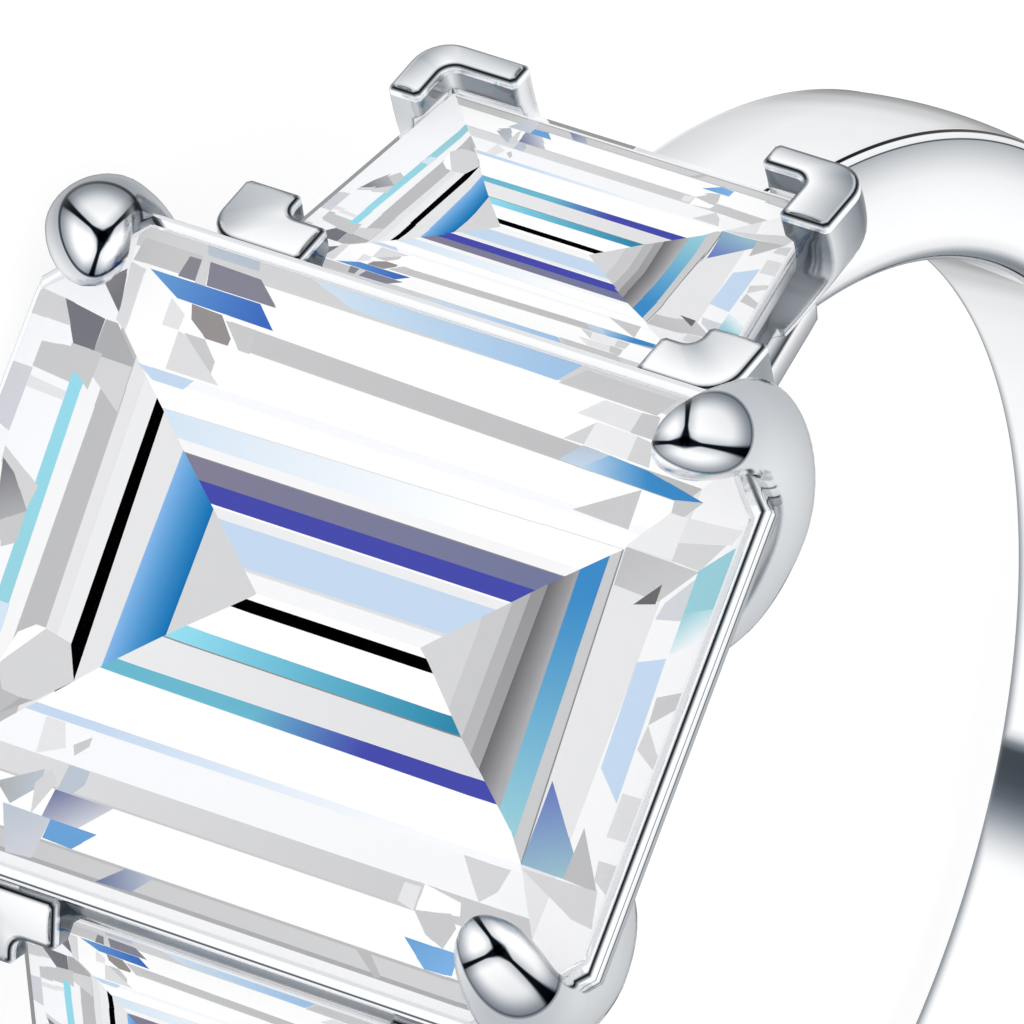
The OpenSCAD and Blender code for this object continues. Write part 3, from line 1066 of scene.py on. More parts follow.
# the camera's directions in the upright ring: towards it, to its right and up
VIEW_UP = (-0.9327, -0.2702, 0.2390)
FACING = Vector((0.0807, 0.4895, 0.8683))
RIGHT = Vector((-0.3516, 0.8291, -0.4347))
UP = Vector(VIEW_UP)


@dataclass(frozen=True)
class PaintedCapReflection:
    """Painted reflection of panels on one claw's cap: places in millimetres of the upright ring, angles in
    degrees.

    The angles are seen along FACING and turn from RIGHT towards UP. The outline is the brightness of the
    line round the cap, and outside is the brightness next to that line.
    """

    egg: Point3
    junction: Point3
    half_length: float
    half_width: float
    egg_angle: float
    lines: Point3
    taper: float = 0.25
    outline: float = 0.1
    outside: float = 0.5

    @staticmethod
    def across(angle: float) -> Vector:
        """Direction square to FACING at an angle from RIGHT, in the row's frame."""
        return RING.turn(RIGHT * cos(radians(angle)) + UP * sin(radians(angle)))

    def values(self) -> dict[str, object]:
        """Values of the cap group's inputs.

        Returns:
            Places and directions in the row's frame and sizes in millimetres, by the inputs' names.
        """
        made = {"Egg": RING.place(self.egg) / MM, "Junction": RING.place(self.junction) / MM,
                "Long": self.across(self.egg_angle), "Short": self.across(self.egg_angle + 90),
                "Facing": RING.turn(FACING), "Half Length": self.half_length,
                "Half Width": self.half_width, "Taper": self.taper, "Outline": self.outline,
                "Outside": self.outside}
        for k, angle in zip(CapGroup.LINES, self.lines):
            made[f"Line {k}"] = self.across(angle)
            made[f"Side {k}"] = self.across(angle + 90)
        return made


@dataclass(frozen=True)
class Finish:
    """Surface finish, with one material for all pieces that have it."""

    name: str

    def material(self) -> bpy.types.Material:
        """Finds the finish's material, and builds it on first use.

        Returns:
            The material.
        """
        found = bpy.data.materials.get(self.name)
        if found:
            return found
        made, shader = new_material(self.name)
        self.build(Graph(made.node_tree), shader)
        return made

    def build(self, graph: Graph, shader: bpy.types.Node) -> None:
        """Adds the finish's nodes and feeds the shader."""
        raise NotImplementedError


@dataclass(frozen=True)
class PolishedMetal(Finish):
    """Mirror-polished white metal whose base colour carries painted reflection and shade: the mesh's
    painted tones, dark lines painted along its edges and, on a claw, its cap's painted reflection panels.

    Line and rounding are widths in millimetres; line is the width of the painted dark edge lines.
    """

    light: Colour = (0.99, 0.992, 0.996)
    shade: Colour = (0.96, 0.963, 0.97)
    gloss: float = 0.03
    line: float = 0.028
    line_ramp: tuple[float, ...] = (0.955, 0.985, 0.02, 1)
    rounding: float = 0.1
    metallic: float = 1
    cool: Colour = (1.07, 1, 0.92)
    cap: PaintedCapReflection | None = None

    def build(self, graph: Graph, shader: bpy.types.Node) -> None:
        """Adds the polish, the painted dark edge lines and the cap's painted reflection.

        Args:
            graph: the material's tree.
            shader: its shader.
        """
        polish = graph.node("ShaderNodeGroup", {"Light": (*self.light, 1), "Shade": (*self.shade, 1),
                                                "Gloss": self.gloss}, node_tree=PolishGroup.get())
        flat = graph.node("ShaderNodeNewGeometry").outputs["Normal"]
        dark: object = 1.0
        # dark lines painted along the edges, in place of the reflection of dark surroundings
        if self.line:
            edge = graph.node("ShaderNodeBevel", {"Radius": self.line * MM}, samples=4)
            dark = graph.ramp(graph.dot(edge.outputs[0], flat), *self.line_ramp)
        if self.rounding:
            soft = graph.node("ShaderNodeBevel", {"Radius": self.rounding * MM}, samples=4)
            graph.fill(shader, {"Normal": soft.outputs[0]})
        if self.cap:
            cap = graph.node("ShaderNodeGroup", self.cap.values(), node_tree=CapGroup.get())
            dark = graph.math("MULTIPLY", dark, cap.outputs["Shade"])
        # the mesh's tones: reflection and shade painted on each point
        painted_light_and_shade = graph.node("ShaderNodeVertexColor", layer_name="tone").outputs["Color"]
        tone = graph.vector("MULTIPLY", polish.outputs["Tone"], painted_light_and_shade)
        # the painted edge lines and cap shade turn bluer as they darken
        cool = graph.node("ShaderNodeCombineXYZ", {k: graph.math("POWER", dark, power)
                                                   for k, power in enumerate(self.cool)})
        graph.fill(shader, {"Base Color": graph.vector("MULTIPLY", tone, cool.outputs[0]),
                            "Roughness": polish.outputs["Roughness"], "Metallic": self.metallic})


@dataclass(frozen=True)
class ClearGem(Finish):
    """Clear polished outside of a cut stone."""

    tint: Colour = (1, 1, 1)
    second_tint: Colour = (0.985, 0.99, 1)
    tint_scale: float = 400
    ior: float = 1.03

    def build(self, graph: Graph, shader: bpy.types.Node) -> None:
        """Adds the faint tint and makes the shader clear."""
        noise = graph.node("ShaderNodeTexNoise", {"Scale": self.tint_scale})
        tint = graph.node("ShaderNodeMix", {0: noise.outputs["Fac"], 6: (*self.tint, 1),
                                            7: (*self.second_tint, 1)}, data_type="RGBA")
        graph.fill(shader, {"Base Color": tint.outputs[2], "Roughness": 0, "Metallic": 0, "IOR": self.ior,
                            "Transmission Weight": 1})


@dataclass(frozen=True)
class FacetPaint(Finish):
    """Painted reflections in a stone's facets: tones on the mesh, part lit by the studio, part a painted
    glow.
    """

    glow: float = 0.7
    roughness: float = 0.4

    def build(self, graph: Graph, shader: bpy.types.Node) -> None:
        """Shares the mesh's tones between the studio's light and a painted glow."""
        tone = graph.node("ShaderNodeVertexColor", layer_name="tone").outputs["Color"]
        rest = 1 - self.glow
        dim = graph.node("ShaderNodeMix", {0: 1, 6: tone, 7: (rest, rest, rest, 1)}, data_type="RGBA",
                         blend_type="MULTIPLY")
        graph.fill(shader, {"Base Color": dim.outputs[2], "Emission Color": tone,
                            "Emission Strength": self.glow, "Roughness": self.roughness,
                            "Specular IOR Level": 0})


METAL = PolishedMetal("polished_metal")
PLAIN = PolishedMetal("polished_band", line=0, rounding=0)
RECESS = PolishedMetal("satin_recess", gloss=0.3, line=0.02, rounding=0, metallic=0.3)
GEM = ClearGem("clear_gem")
FACETS = FacetPaint("painted_facet_reflections")


@dataclass(frozen=True)
class Dress:
    """Puts a finished piece on the ring."""

    slot: str
    node: str | None

    def put(self, piece: bpy.types.Object, finish: Finish) -> None:
        """Gives a piece its material and body, and hides the node it stands for.

        Args:
            piece: the finished object.
            finish: its surface.
        """
        piece.data.materials.clear()
        piece.data.materials.append(finish.material())
        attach(piece, "root")
        if self.node:
            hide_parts(self.node)
        LOG.info("%s: %d faces", piece.name, len(piece.data.polygons))


MOUNT = Dress("metal", "ring_mount")


@dataclass
class Shank:
    """Band round the finger, with flatter shoulder arcs and a domed outer face.

    The section's rows are offsets in millimetres and a display value of painted reflection and shade. The
    far half of the section is painted brighter, and its dome's painted tone fades away from the middle.
    """

    bore_r: float = 8.25
    low_r: float = 9.7
    head_r: float = 10.05
    shoulder_r: float = 10.45
    shoulder_from: float = 130
    shoulder_to: float = 24
    shoulder_blend: float = 0.6
    width: float = 2.2
    dome: float = 0.09
    dome_steps: int = 15
    dome_tone: float = 243
    dome_fade: float = 2
    bevel: float = 0.09
    bore_round: float = 0.25
    # painted reflection and shade: round the hole's edge, over the side, and a dark line at each bevel edge
    bore_tones: tuple[float, ...] = (246, 226, 196, 160, 128, 118, 146, 196, 232)
    hollow: float = 0.02
    side_tones: tuple[Point2, ...] = ((0.1, 252), (0.25, 252), (0.5, 247), (0.66, 238), (0.8, 216),
                                      (0.92, 190), (0.97, 176))
    side_edge: tuple[Point3, ...] = ((-0.024, 0, 168), (-0.016, 0, 60), (-0.004, -0.002, 60),
                                     (0.006, -0.006, 236))
    dome_edge: tuple[Point3, ...] = ((-0.03, 0.03, 244), (-0.022, 0.022, 6), (0.004, -0.004, 6),
                                     (0.008, -0.012, 236))
    far_from: float = 0.02
    far_lift: float = 10
    # angles in degrees of a painted dark reflection patch on the finger hole's wall, its tones, depth and
    # edge
    patch: Point2 = (156.8, 171)
    patch_tones: tuple[float, ...] = (252, 72, 70, 76, 98, 138, 184, 222, 246, 255)
    patch_depth: float = 0.12
    patch_edge: float = 0.6
    steps: int = 480
    crease: float = 24

    def outer_radius(self, angle: float) -> float:
        """Radius of the outer face's edge.

        Args:
            angle: angle from the head in degrees.

        Returns:
            The radius in millimetres: the low part's, the shoulder arc's or the head's.
        """
        a = abs(angle)
        if a >= self.shoulder_from:
            return self.low_r
        step = self.shoulder_r - self.low_r
        start = radians(self.shoulder_from)
        cx, cz = -step * sin(start), -step * cos(start)
        toward = sin(radians(a)) * cx + cos(radians(a)) * cz
        arc = toward + sqrt(self.shoulder_r ** 2 - step ** 2 + toward ** 2)
        if a >= self.shoulder_to + self.shoulder_blend:
            return arc
        t = max(0, a - self.shoulder_to) / self.shoulder_blend
        return self.head_r + (arc - self.head_r) * t

    def section(self, radius: float) -> list[Point3]:
        """Section of the band, from the finger hole over the near edge and the dome to the far edge.

        Args:
            radius: radius of the outer face's edge.

        Returns:
            Points as distance from the axis, place along the finger and display value.
        """
        hw = self.width / 2
        crown = hw - self.bevel
        dome_r = (crown ** 2 + self.dome ** 2) / 2 / self.dome
        half = asin(crown / dome_r)
        r = self.bore_round
        edge = radius - self.bevel
        near: list[Point3] = []
        for k, value in enumerate(self.bore_tones):
            q = pi - k * pi / (2 * (len(self.bore_tones) - 1))
            near.append((self.bore_r + r + r * cos(q), hw - r + r * sin(q), value))
        start = self.bore_r + r
        for share, value in self.side_tones:
            near.append((start + (edge - start) * share, hw - self.hollow * sin(pi * share), value))
        near += [(edge + dx, hw + dy, value) for dx, dy, value in self.side_edge]
        near += [(radius + dx, crown + dy, value) for dx, dy, value in self.dome_edge]
        for k in range(self.dome_steps - 1, 0, -1):
            q = half * k / self.dome_steps
            near.append((radius + self.dome - dome_r + dome_r * cos(q), dome_r * sin(q), self.dome_tone))
        far = [(x, -y, v if x < start + self.far_from else min(v + self.far_lift, 255))
               for x, y, v in reversed(near)]
        far = [(x, y, self.dome_tone - self.dome_fade * k if k < self.dome_steps - 1 else v)
               for k, (x, y, v) in enumerate(far)]
        return near + [(radius + self.dome, 0, self.dome_tone)] + far

    def tone(self, value: float, r: float, y: float, angle: float) -> Colour:
        """Painted tone of a point: one dark reflection patch is painted on the finger hole's wall below each
        shoulder.

        Args:
            value: the section's display value.
            r: distance from the axis.
            y: place along the finger.
            angle: angle from the head in degrees.

        Returns:
            The linear colour.
        """
        if r < self.bore_r + self.patch_depth and y < self.width / 2 - self.bore_round * self.patch_edge:
            patch = along(self.patch_tones, (abs(angle) - self.patch[0]) / (self.patch[1] - self.patch[0]))
            value = min(value, patch) if y < 0 else value + (patch - 255)
        return steel(value)

    def build(self) -> None:
        """Sweeps the section round the finger hole."""
        solid = Solid("shank")
        rings, tones = [], []
        for k in range(self.steps):
            a = -180 + 360 * (k + 0.5) / self.steps
            s, c = sin(radians(a)), cos(radians(a))
            line = self.section(self.outer_radius(a))
            rings.append([(r * s, y, r * c) for r, y, _ in line])
            tones.append([self.tone(v, r, y, a) for r, y, v in line])
        solid.skin(rings, closed=True, tones=tones)
        piece = solid.finish()
        crease(piece, self.crease)
        MOUNT.put(piece, PLAIN)


@dataclass
class Claw:
    """Pear-shaped claw over one corner of the centre stone, from its foot in the shank to its tip.

    The rows are x, y, z, half width and half thickness, for the corner at +x and +y. The tip says how far
    the upper rows move, and slim is the width of the arm below them, as a share of the rows' width. The
    tones are painted reflection and shade from the foot to the tip, with a painted highlight of lit_gain on
    the side that faces the angle lit.
    """

    sx: int
    sy: int
    name: str
    cap: PaintedCapReflection
    tip: Point3 = (0, 0, 0)
    slim: float = 1
    tip_from: float = 10.5
    tip_over: float = 2
    arm_to: float = 12.75
    arm_over: float = 0.7
    arm_shift: float = 0.15
    # painted reflection and shade from the foot to the tip
    tones: tuple[float, ...] = (160, 168, 176, 186, 196, 204, 212, 236, 255, 255)
    lit: float = 0.8
    lit_gain: float = 44
    sides: int = 48
    between: int = 8
    crease: float = 40
    rows: tuple[tuple[float, ...], ...] = (
        (0.50, 0.80, 8.95, 0.42, 0.34), (0.80, 1.80, 9.30, 0.46, 0.36), (1.35, 3.05, 9.80, 0.56, 0.38),
        (2.20, 4.10, 10.50, 0.70, 0.42), (3.10, 4.72, 11.35, 0.80, 0.46), (3.74, 4.98, 12.05, 0.82, 0.47),
        (3.98, 5.05, 12.65, 0.70, 0.49), (3.88, 4.95, 13.05, 0.61, 0.49), (3.62, 4.70, 13.30, 0.56, 0.47),
        (3.38, 4.46, 13.42, 0.46, 0.40), (3.22, 4.30, 13.45, 0.30, 0.28), (3.14, 4.22, 13.44, 0.12, 0.12))

    def path(self) -> list[tuple[float, ...]]:
        """Rows moved by the tip and slimmed along the arm, with smooth ones between them."""
        rows = []
        for row in self.rows:
            share = min(1, max(0, (row[2] - self.tip_from) / self.tip_over))
            x, y, z, wide, thick = (v + t * share for v, t in zip(row, (*self.tip, 0, 0)))
            arm = min(1, max(0, (self.arm_to - row[2]) / self.arm_over))
            rows.append((x, y - self.arm_shift * (1 - self.slim) * arm, z,
                         wide * (1 - (1 - self.slim) * arm), thick))
        return smooth(rows, self.between)

    def rings(self) -> list[list[Vector]]:
        """Sections square to the path, mirrored to this claw's corner."""
        path = self.path()
        made = []
        for i, row in enumerate(path):
            a, b = Vector(path[max(i - 1, 0)][:3]), Vector(path[min(i + 1, len(path) - 1)][:3])
            t = (b - a).normalized()
            thick = t.cross(Vector((-1, 1, 0))).normalized()
            wide = thick.cross(t)
            ring = []
            for k in range(self.sides):
                q = 2 * pi * k / self.sides
                p = Vector(row[:3]) + wide * row[3] * cos(q) + thick * row[4] * sin(q)
                ring.append(Vector((p.x * self.sx, p.y * self.sy, p.z)))
            made.append(ring)
        return made

    def tone(self, share: float, turn: float) -> Colour:
        """Painted reflection and shade of a point, with a painted highlight on the lit side.

        Args:
            share: share of the way from the foot to the tip.
            turn: angle round the section.

        Returns:
            The linear colour.
        """
        outside = 0.5 + 0.5 * cos(turn - self.lit)
        value = along(self.tones, share)
        return steel(value + self.lit_gain * (outside - 0.5) * min(1, 4 - 5 * share))

    def build(self, cutters: Sequence[bpy.types.Object]) -> None:
        """Builds the claw and cuts the stone's seat into it."""
        solid = Solid(self.name)
        rings = self.rings()
        last = len(rings) - 1
        solid.skin(rings, tones=[[self.tone(i / last, 2 * pi * k / self.sides) for k in range(self.sides)]
                                 for i in range(last + 1)])
        piece = solid.finish()
        carve(piece, cutters)
        crease(piece, self.crease)
        MOUNT.put(piece, PolishedMetal(f"polished_{self.name}", cap=self.cap))


@dataclass
class CentreSeat:
    """Rail under the centre stone's girdle and the two walls towards the side stones.

    The rail's rows are inset, height and display value; the wall's are height, half length, outer place
    and display value. These display values are painted reflection and shade, the walls darker lower down.
    The rail's right end has painted tones of its own, with one painted dark line on its lip.
    """

    rail_h: float = 0.4
    out_x: float = 0.18
    out_y: float = 0.13
    gap: float = 0.03
    rail: tuple[Point3, ...] = (
        (0.05, 0.0, 110), (0.01, 0.01, 120), (0.0, 0.03, 165), (0.0, 0.1, 182), (0.0, 0.118, 80),
        (0.0, 0.13, 60), (0.0, 0.142, 235), (0.0, 0.225, 255), (0.0, 0.236, 130), (0.0, 0.25, 130),
        (0.0, 0.26, 250), (0.0, 0.34, 255), (0.005, 0.36, 240), (0.02, 0.385, 120), (0.03, 0.395, 30),
        (0.045, 0.4, 30), (0.055, 0.4, 170), (0.07, 0.4, 245), (0.2, 0.4, 235), (0.55, 0.4, 200),
        (0.55, 0.0, 120))
    # painted reflection and shade of the rail's right end, with a painted dark line on its lip
    end_tones: tuple[float, ...] = (70, 150, 236, 250, 250, 244, 244)
    lip: Point2 = (0.025, 0.05)
    lip_tone: float = 90
    back_tone: float = 222
    rail_crease: float = 40
    wall_inner: float = 3.68
    wall: tuple[tuple[float, float, float, float], ...] = (
        (9.0, 1.2, 4.1, 120), (11.2, 3.1, 4.32, 92), (11.4, 3.1, 4.32, 98), (11.6, 3.1, 4.3, 118),
        (11.8, 3.1, 4.26, 150), (12.0, 3.1, 4.22, 196), (12.15, 3.1, 4.19, 222), (12.31, 3.1, 4.16, 228))

    def top(self) -> float:
        """Height of the rail's top."""
        return CENTRE_SEAT.z - CENTRE.girdle / 2 - self.gap

    def octagon(self, hx: float, hy: float, z: float) -> list[Point3]:
        """Octagon with the stone's corner cut, from its right end round to its near side."""
        c = CENTRE.cut
        return [(hx, -hy + c, z), (hx, hy - c, z), (hx - c, hy, z), (-hx + c, hy, z),
                (-hx, hy - c, z), (-hx, -hy + c, z), (-hx + c, -hy, z), (hx - c, -hy, z)]

    def build_rail(self, cutters: Sequence[bpy.types.Object]) -> None:
        """Builds the rail round the stone and cuts the stone's seat into it."""
        low = self.top() - self.rail_h
        solid = Solid("centre_rail")
        rings, tones = [], []
        for inset, lift, value in self.rail:
            rings.append(self.octagon(CENTRE.hx + (self.out_x - inset), CENTRE.near + (self.out_y - inset),
                                      low + lift))
            end = along(self.end_tones, lift / self.rail_h)
            if self.lip[0] < inset < self.lip[1]:
                end = self.lip_tone
            tones.append([steel(v) for v in [end] * 2 + [value] * 2 + [max(value, self.back_tone)] * 4])
        solid.skin(rings, closed=True, tones=tones)
        rail = solid.finish()
        carve(rail, cutters)
        crease(rail, self.rail_crease)
        MOUNT.put(rail, PLAIN)

    def build_wall(self, name: str, sign: int, cutters: Sequence[bpy.types.Object]) -> None:
        """Builds the wall towards one side stone.

        Args:
            name: which side.
            sign: the side's sign along x.
            cutters: solids of the stones' seats.
        """
        solid = Solid(f"wall_{name}")
        rings = [[(sign * x, y, z) for x, y in ((self.wall_inner, -half), (self.wall_inner, half),
                                                (outer, half), (outer, -half))]
                 for z, half, outer, _ in self.wall]
        solid.skin(rings, tones=[[steel(value)] * 4 for *_, value in self.wall])
        wall = solid.finish()
        carve(wall, cutters)
        crease(wall)
        MOUNT.put(wall, RECESS)

    def build(self, cutters: Sequence[bpy.types.Object]) -> None:
        """Builds the rail and the walls."""
        self.build_rail(cutters)
        for name, seat in WING_SEATS.items():
            self.build_wall(name, seat.sign, cutters)


@dataclass(frozen=True)
class PostLook:
    """Display values of painted reflection and shade over one post, each row from the end of its first arm
    by the corner to the other end.

    The first arm runs along the finger, the second one across it. The spread is what this post has more than
    the others, in millimetres: overhang across and along the finger, and length of the first and second arm.
    """

    top_in: tuple[float, ...]
    top_out: tuple[float, ...]
    inner: tuple[float, ...]
    outer: tuple[float, ...]
    ends: Point2
    spread: tuple[float, float, float, float] = (0, 0, 0, 0)


POST_LOOKS: dict[tuple[str, str], PostLook] = {
    ("far", "a"): PostLook(
        top_in=(250, 255, 255, 255, 252), top_out=(200, 165, 120, 150, 190),
        inner=(120, 122, 130, 150, 150), outer=(120, 90, 80, 104, 255),
        ends=(150, 124), spread=(0, 0.18, 0.18, 0.15)),
    ("far", "b"): PostLook(
        top_in=(235, 225, 250, 225, 245), top_out=(150, 215, 170, 150, 230),
        inner=(120, 170, 245, 200, 130), outer=(200, 160, 150, 200, 230),
        ends=(238, 205), spread=(0, -0.08, 0.22, 0.1)),
    ("near", "a"): PostLook(
        top_in=(240, 190, 175, 200, 215), top_out=(255, 255, 255, 250, 225),
        inner=(110, 110, 110, 110, 110), outer=(255, 255, 250, 170, 130),
        ends=(200, 160), spread=(0.1, 0.1, 0.05, 0.1)),
    ("near", "b"): PostLook(
        top_in=(235, 228, 240, 215, 190), top_out=(255, 240, 180, 170, 200),
        inner=(110, 110, 110, 110, 110), outer=(90, 80, 100, 160, 200),
        ends=(120, 150), spread=(0.1, 0.08, 0.2, 0.1)),
}


@dataclass(frozen=True)
class Level:
    """One height of a post: inset, lean towards the stone, share of its thickness, and its lip's painted
    reflection.
    """

    height: float
    inset: float = 0
    lean: Point2 = (0, 0)
    thick: float = 1
    bright: float | None = None


@dataclass
class SideBasket:
    """Posts, trough and lower rail that carry one side stone.

    The post's rows are height under its top, lean across and along, and share of the thickness. The rows of
    the trough and the lower rail are inset from the stone's outline and height. The lip's rows, lip_light,
    lip_weak, end_light and end_shade paint highlights and shade on the posts: a bright band and a dark line
    round each lip, weaker away from the lit side, and the arms' ends lighter lower down and darker on top.
    The tones of the trough and the lower rail are painted reflection and shade, the trough darker lower
    down.
    """

    name: str
    seat: Seat
    post_top: float = 0.55
    edge: float = 1.3
    end: float = 1.0
    tx: float = 0.38
    ty: float = 0.55
    near_over: float = 0.22
    far_over: float = 0.02
    round_r: float = 0.5
    least_r: float = 0.05
    fillet: float = 0.2
    end_cut: float = 0.05
    arc_step: int = 10
    lip: float = 0.07
    lip_line: Point2 = (0.05, 0.04)
    lip_light: float = 250
    lip_rows: tuple[Point2, ...] = ((22, 250), (42, 130), (58, 5), (72, 40), (90, 200))
    lip_weak: float = 0.35
    end_light: Point2 = (0.5, 0.8)
    end_shade: float = 0.8
    crown: float = 0.03
    top_shares: tuple[float, ...] = (0.05, 0.12, 0.3, 0.5, 0.7, 0.88, 0.95)
    post_steps: int = 5
    post_crease: float = 50
    post: tuple[tuple[float, ...], ...] = (
        (0.0, 0.0, 0.0, 1.0), (-0.75, 0.0, 0.02, 1.0), (-1.25, 0.14, 0.28, 0.98), (-1.9, 0.42, 0.72, 0.92),
        (-2.7, 0.8, 1.3, 0.8))
    trough: tuple[Point2, ...] = ((1.45, -2.5), (0.55, -1.6), (0.22, -0.5), (0.1, -0.42), (0, -0.36),
                                  (-0.03, -0.14))
    trough_tones: tuple[float, ...] = (130, 138, 150, 150, 160, 215)
    lower_rail: tuple[Point2, ...] = ((1.4, -2.6), (0.6, -2.2), (0.3, -1.98), (0.2, -1.8), (0.185, -1.6),
                                      (0.17, -1.42), (0.175, -1.36), (0.21, -1.3), (0.3, -1.2))
    lower_rail_tones: tuple[float, ...] = (150, 150, 110, 120, 196, 255, 20, 150, 250)

    def chains(self, cx: float, cy: float, over: float, level: Level,
               spread: Sequence[float]) -> tuple[Polygon, Polygon]:
        """Lines of a chevron about the stone's corner, with the stone towards -x and -y.

        Args:
            cx: the corner's place across the finger.
            cy: its place along the finger.
            over: how far the chevron reaches over the stone.
            level: the post's level.
            spread: what this post has more than the others.

        Returns:
            The inner and the outer line, each from the end of the first arm.
        """
        k, inset = level.thick, level.inset
        tx, ty = self.tx + spread[0], self.ty + spread[1]
        ox, oy = cx + tx * k - inset, cy + ty * k - inset
        ix, iy = cx - over + inset, cy - over + inset
        end_y = cy + (ty - self.edge - spread[2]) * k + inset
        end_x = cx + (tx - self.end - spread[3]) * k + inset
        cut = self.end_cut
        pair = []
        for x, y, r, turn in ((ix, iy, self.fillet + inset, -1),
                              (ox, oy, max(self.least_r, self.round_r - inset), 1)):
            line = [(x - cut * turn, end_y), (x, end_y + cut), (x, (end_y + y - r) / 2)]
            for q in range(0, 91, self.arc_step):
                line.append((x - r + r * cos(radians(q)), y - r + r * sin(radians(q))))
            line += [((end_x + x - r) / 2, y), (end_x + cut, y), (end_x, y - cut * turn)]
            pair.append(line)
        return pair[0], pair[1]

    def levels(self) -> list[Level]:
        """Levels of a post from its foot to its rounded lip."""
        dull, lit = (-self.lip - drop for drop in self.lip_line)
        made = [Level(height, 0, (dx, dy), k)
                for height, dx, dy, k in reversed(smooth(self.post, self.post_steps)) if height < lit]
        made += [Level(dull), Level(lit, bright=self.lip_light), Level(-self.lip, bright=self.lip_light)]
        return made + [Level(self.lip * (sin(radians(q)) - 1), self.lip * (1 - cos(radians(q))),
                             bright=bright) for q, bright in self.lip_rows]

    def wall_tones(self, look: PostLook, level: Level, n: int, flip: int, mirror: int) -> list[Colour]:
        """Painted reflection and shade of one level, along the inner line and back along the outer one.

        Args:
            look: the post's display values.
            level: the level.
            n: number of points of each line.
            flip: 1 for a post at the far end, -1 at the near end.
            mirror: 1 or -1, by the post's side along the finger.

        Returns:
            The points' linear colours.
        """
        depth, over = self.end_light
        made = []
        for outer, values in ((False, look.inner), (True, look.outer)):
            for j in (range(n - 1, -1, -1) if outer else range(n)):
                value = along(values, j / (n - 1))
                if j in (0, n - 1):
                    value = look.ends[0 if j == 0 else 1]
                    value += (255 - value) * min(1, max(0, -depth - level.height) / over)
                if level.bright is not None:
                    strength = 1 if self._shows(outer, j / (n - 1), flip, mirror) else self.lip_weak
                    value += (level.bright - value) * strength
                made.append(steel(value))
        return made

    def build_post(self, name: str, look: PostLook, over: float, flip: int, mirror: int) -> bpy.types.Object:
        """Builds one post with its rounded lip, crowned top and its painted reflection tones.

        Args:
            name: the piece's name.
            look: its display values and its spread.
            over: how far it reaches over the stone.
            flip: 1 for a post at the far end, -1 at the near end.
            mirror: 1 or -1, by its side along the finger.

        Returns:
            The new object.
        """
        cx, cy = WING.hx, WING.far if flip > 0 else WING.near
        solid = Solid(name, self.seat.place)

        def lay(p: Point2, z: float) -> Point3:
            """Point of the chevron in the stone's frame."""
            return flip * p[0], mirror * p[1], z

        rows = []
        for level in self.levels():
            inner, outer = self.chains(cx - level.lean[0], cy - level.lean[1], over, level, look.spread)
            rows.append(solid.points([lay(p, self.post_top + level.height) for p in inner + outer[::-1]],
                                     self.wall_tones(look, level, len(inner), flip, mirror)))
        for low, high in zip(rows, rows[1:]):
            solid.bridge(low, high)
        solid.face(rows[0][::-1])
        n = len(inner)
        grid = [rows[-1][:n]]
        for t in self.top_shares:
            line = [lay((p[0] + (q[0] - p[0]) * t, p[1] + (q[1] - p[1]) * t),
                        self.post_top + self.crown * 4 * t * (1 - t)) for p, q in zip(inner, outer)]
            values = [along((along(look.top_in, j / (n - 1)), along(look.top_out, j / (n - 1))), t)
                      for j in range(n)]
            values[0] *= self.end_shade
            values[-1] *= self.end_shade
            grid.append(solid.points(line, [steel(v) for v in values]))
        grid.append(rows[-1][n:][::-1])
        for low, high in zip(grid, grid[1:]):
            solid.bridge(low, high, closed=False)
        solid.face([line[0] for line in grid])
        solid.face([line[-1] for line in reversed(grid)])
        return solid.finish()

    def _shows(self, outer: bool, share: float, flip: int, mirror: int) -> bool:
        """Whether a post's edge lies on the lit side, towards the centre stone or the far end.

        Args:
            outer: whether the edge is the outer line's.
            share: share of the line, from the end of the first arm.
            flip: 1 for a post at the far end, -1 at the near end.
            mirror: 1 or -1, by the post's side along the finger.

        Returns:
            True on the lit side.
        """
        side = 1 if outer else -1
        if share < 0.03 or share > 0.97:
            return flip > 0 if share > 0.97 else mirror < 0
        across = side * flip < 0
        lengthwise = side * mirror > 0
        if share < 0.42:
            return across
        if share > 0.58:
            return lengthwise
        return across or lengthwise

    def build(self, cutters: Sequence[bpy.types.Object]) -> None:
        """Builds the trough, the lower rail and the posts.

        Args:
            cutters: solids of the stones' seats.
        """
        for part, rows, values, finish in (("trough", self.trough, self.trough_tones, RECESS),
                                           ("lower_rail", self.lower_rail, self.lower_rail_tones, METAL)):
            solid = Solid(f"{part}_{self.name}", self.seat.place)
            rings = [WING.outline(inset, z) for inset, z in rows]
            solid.skin(rings, tones=[[steel(v)] * len(r) for v, r in zip(values, rings)])
            piece = solid.finish()
            carve(piece, cutters)
            crease(piece)
            MOUNT.put(piece, finish)
        for where, over, flip in (("far", self.far_over, 1), ("near", self.near_over, -1)):
            for mirror, end in ((1, "a"), (-1, "b")):
                name = f"post_{where}_{self.name}_{end}"
                piece = self.build_post(name, POST_LOOKS[where, end], over, flip, mirror)
                carve(piece, cutters)
                crease(piece, self.post_crease)
                MOUNT.put(piece, METAL)


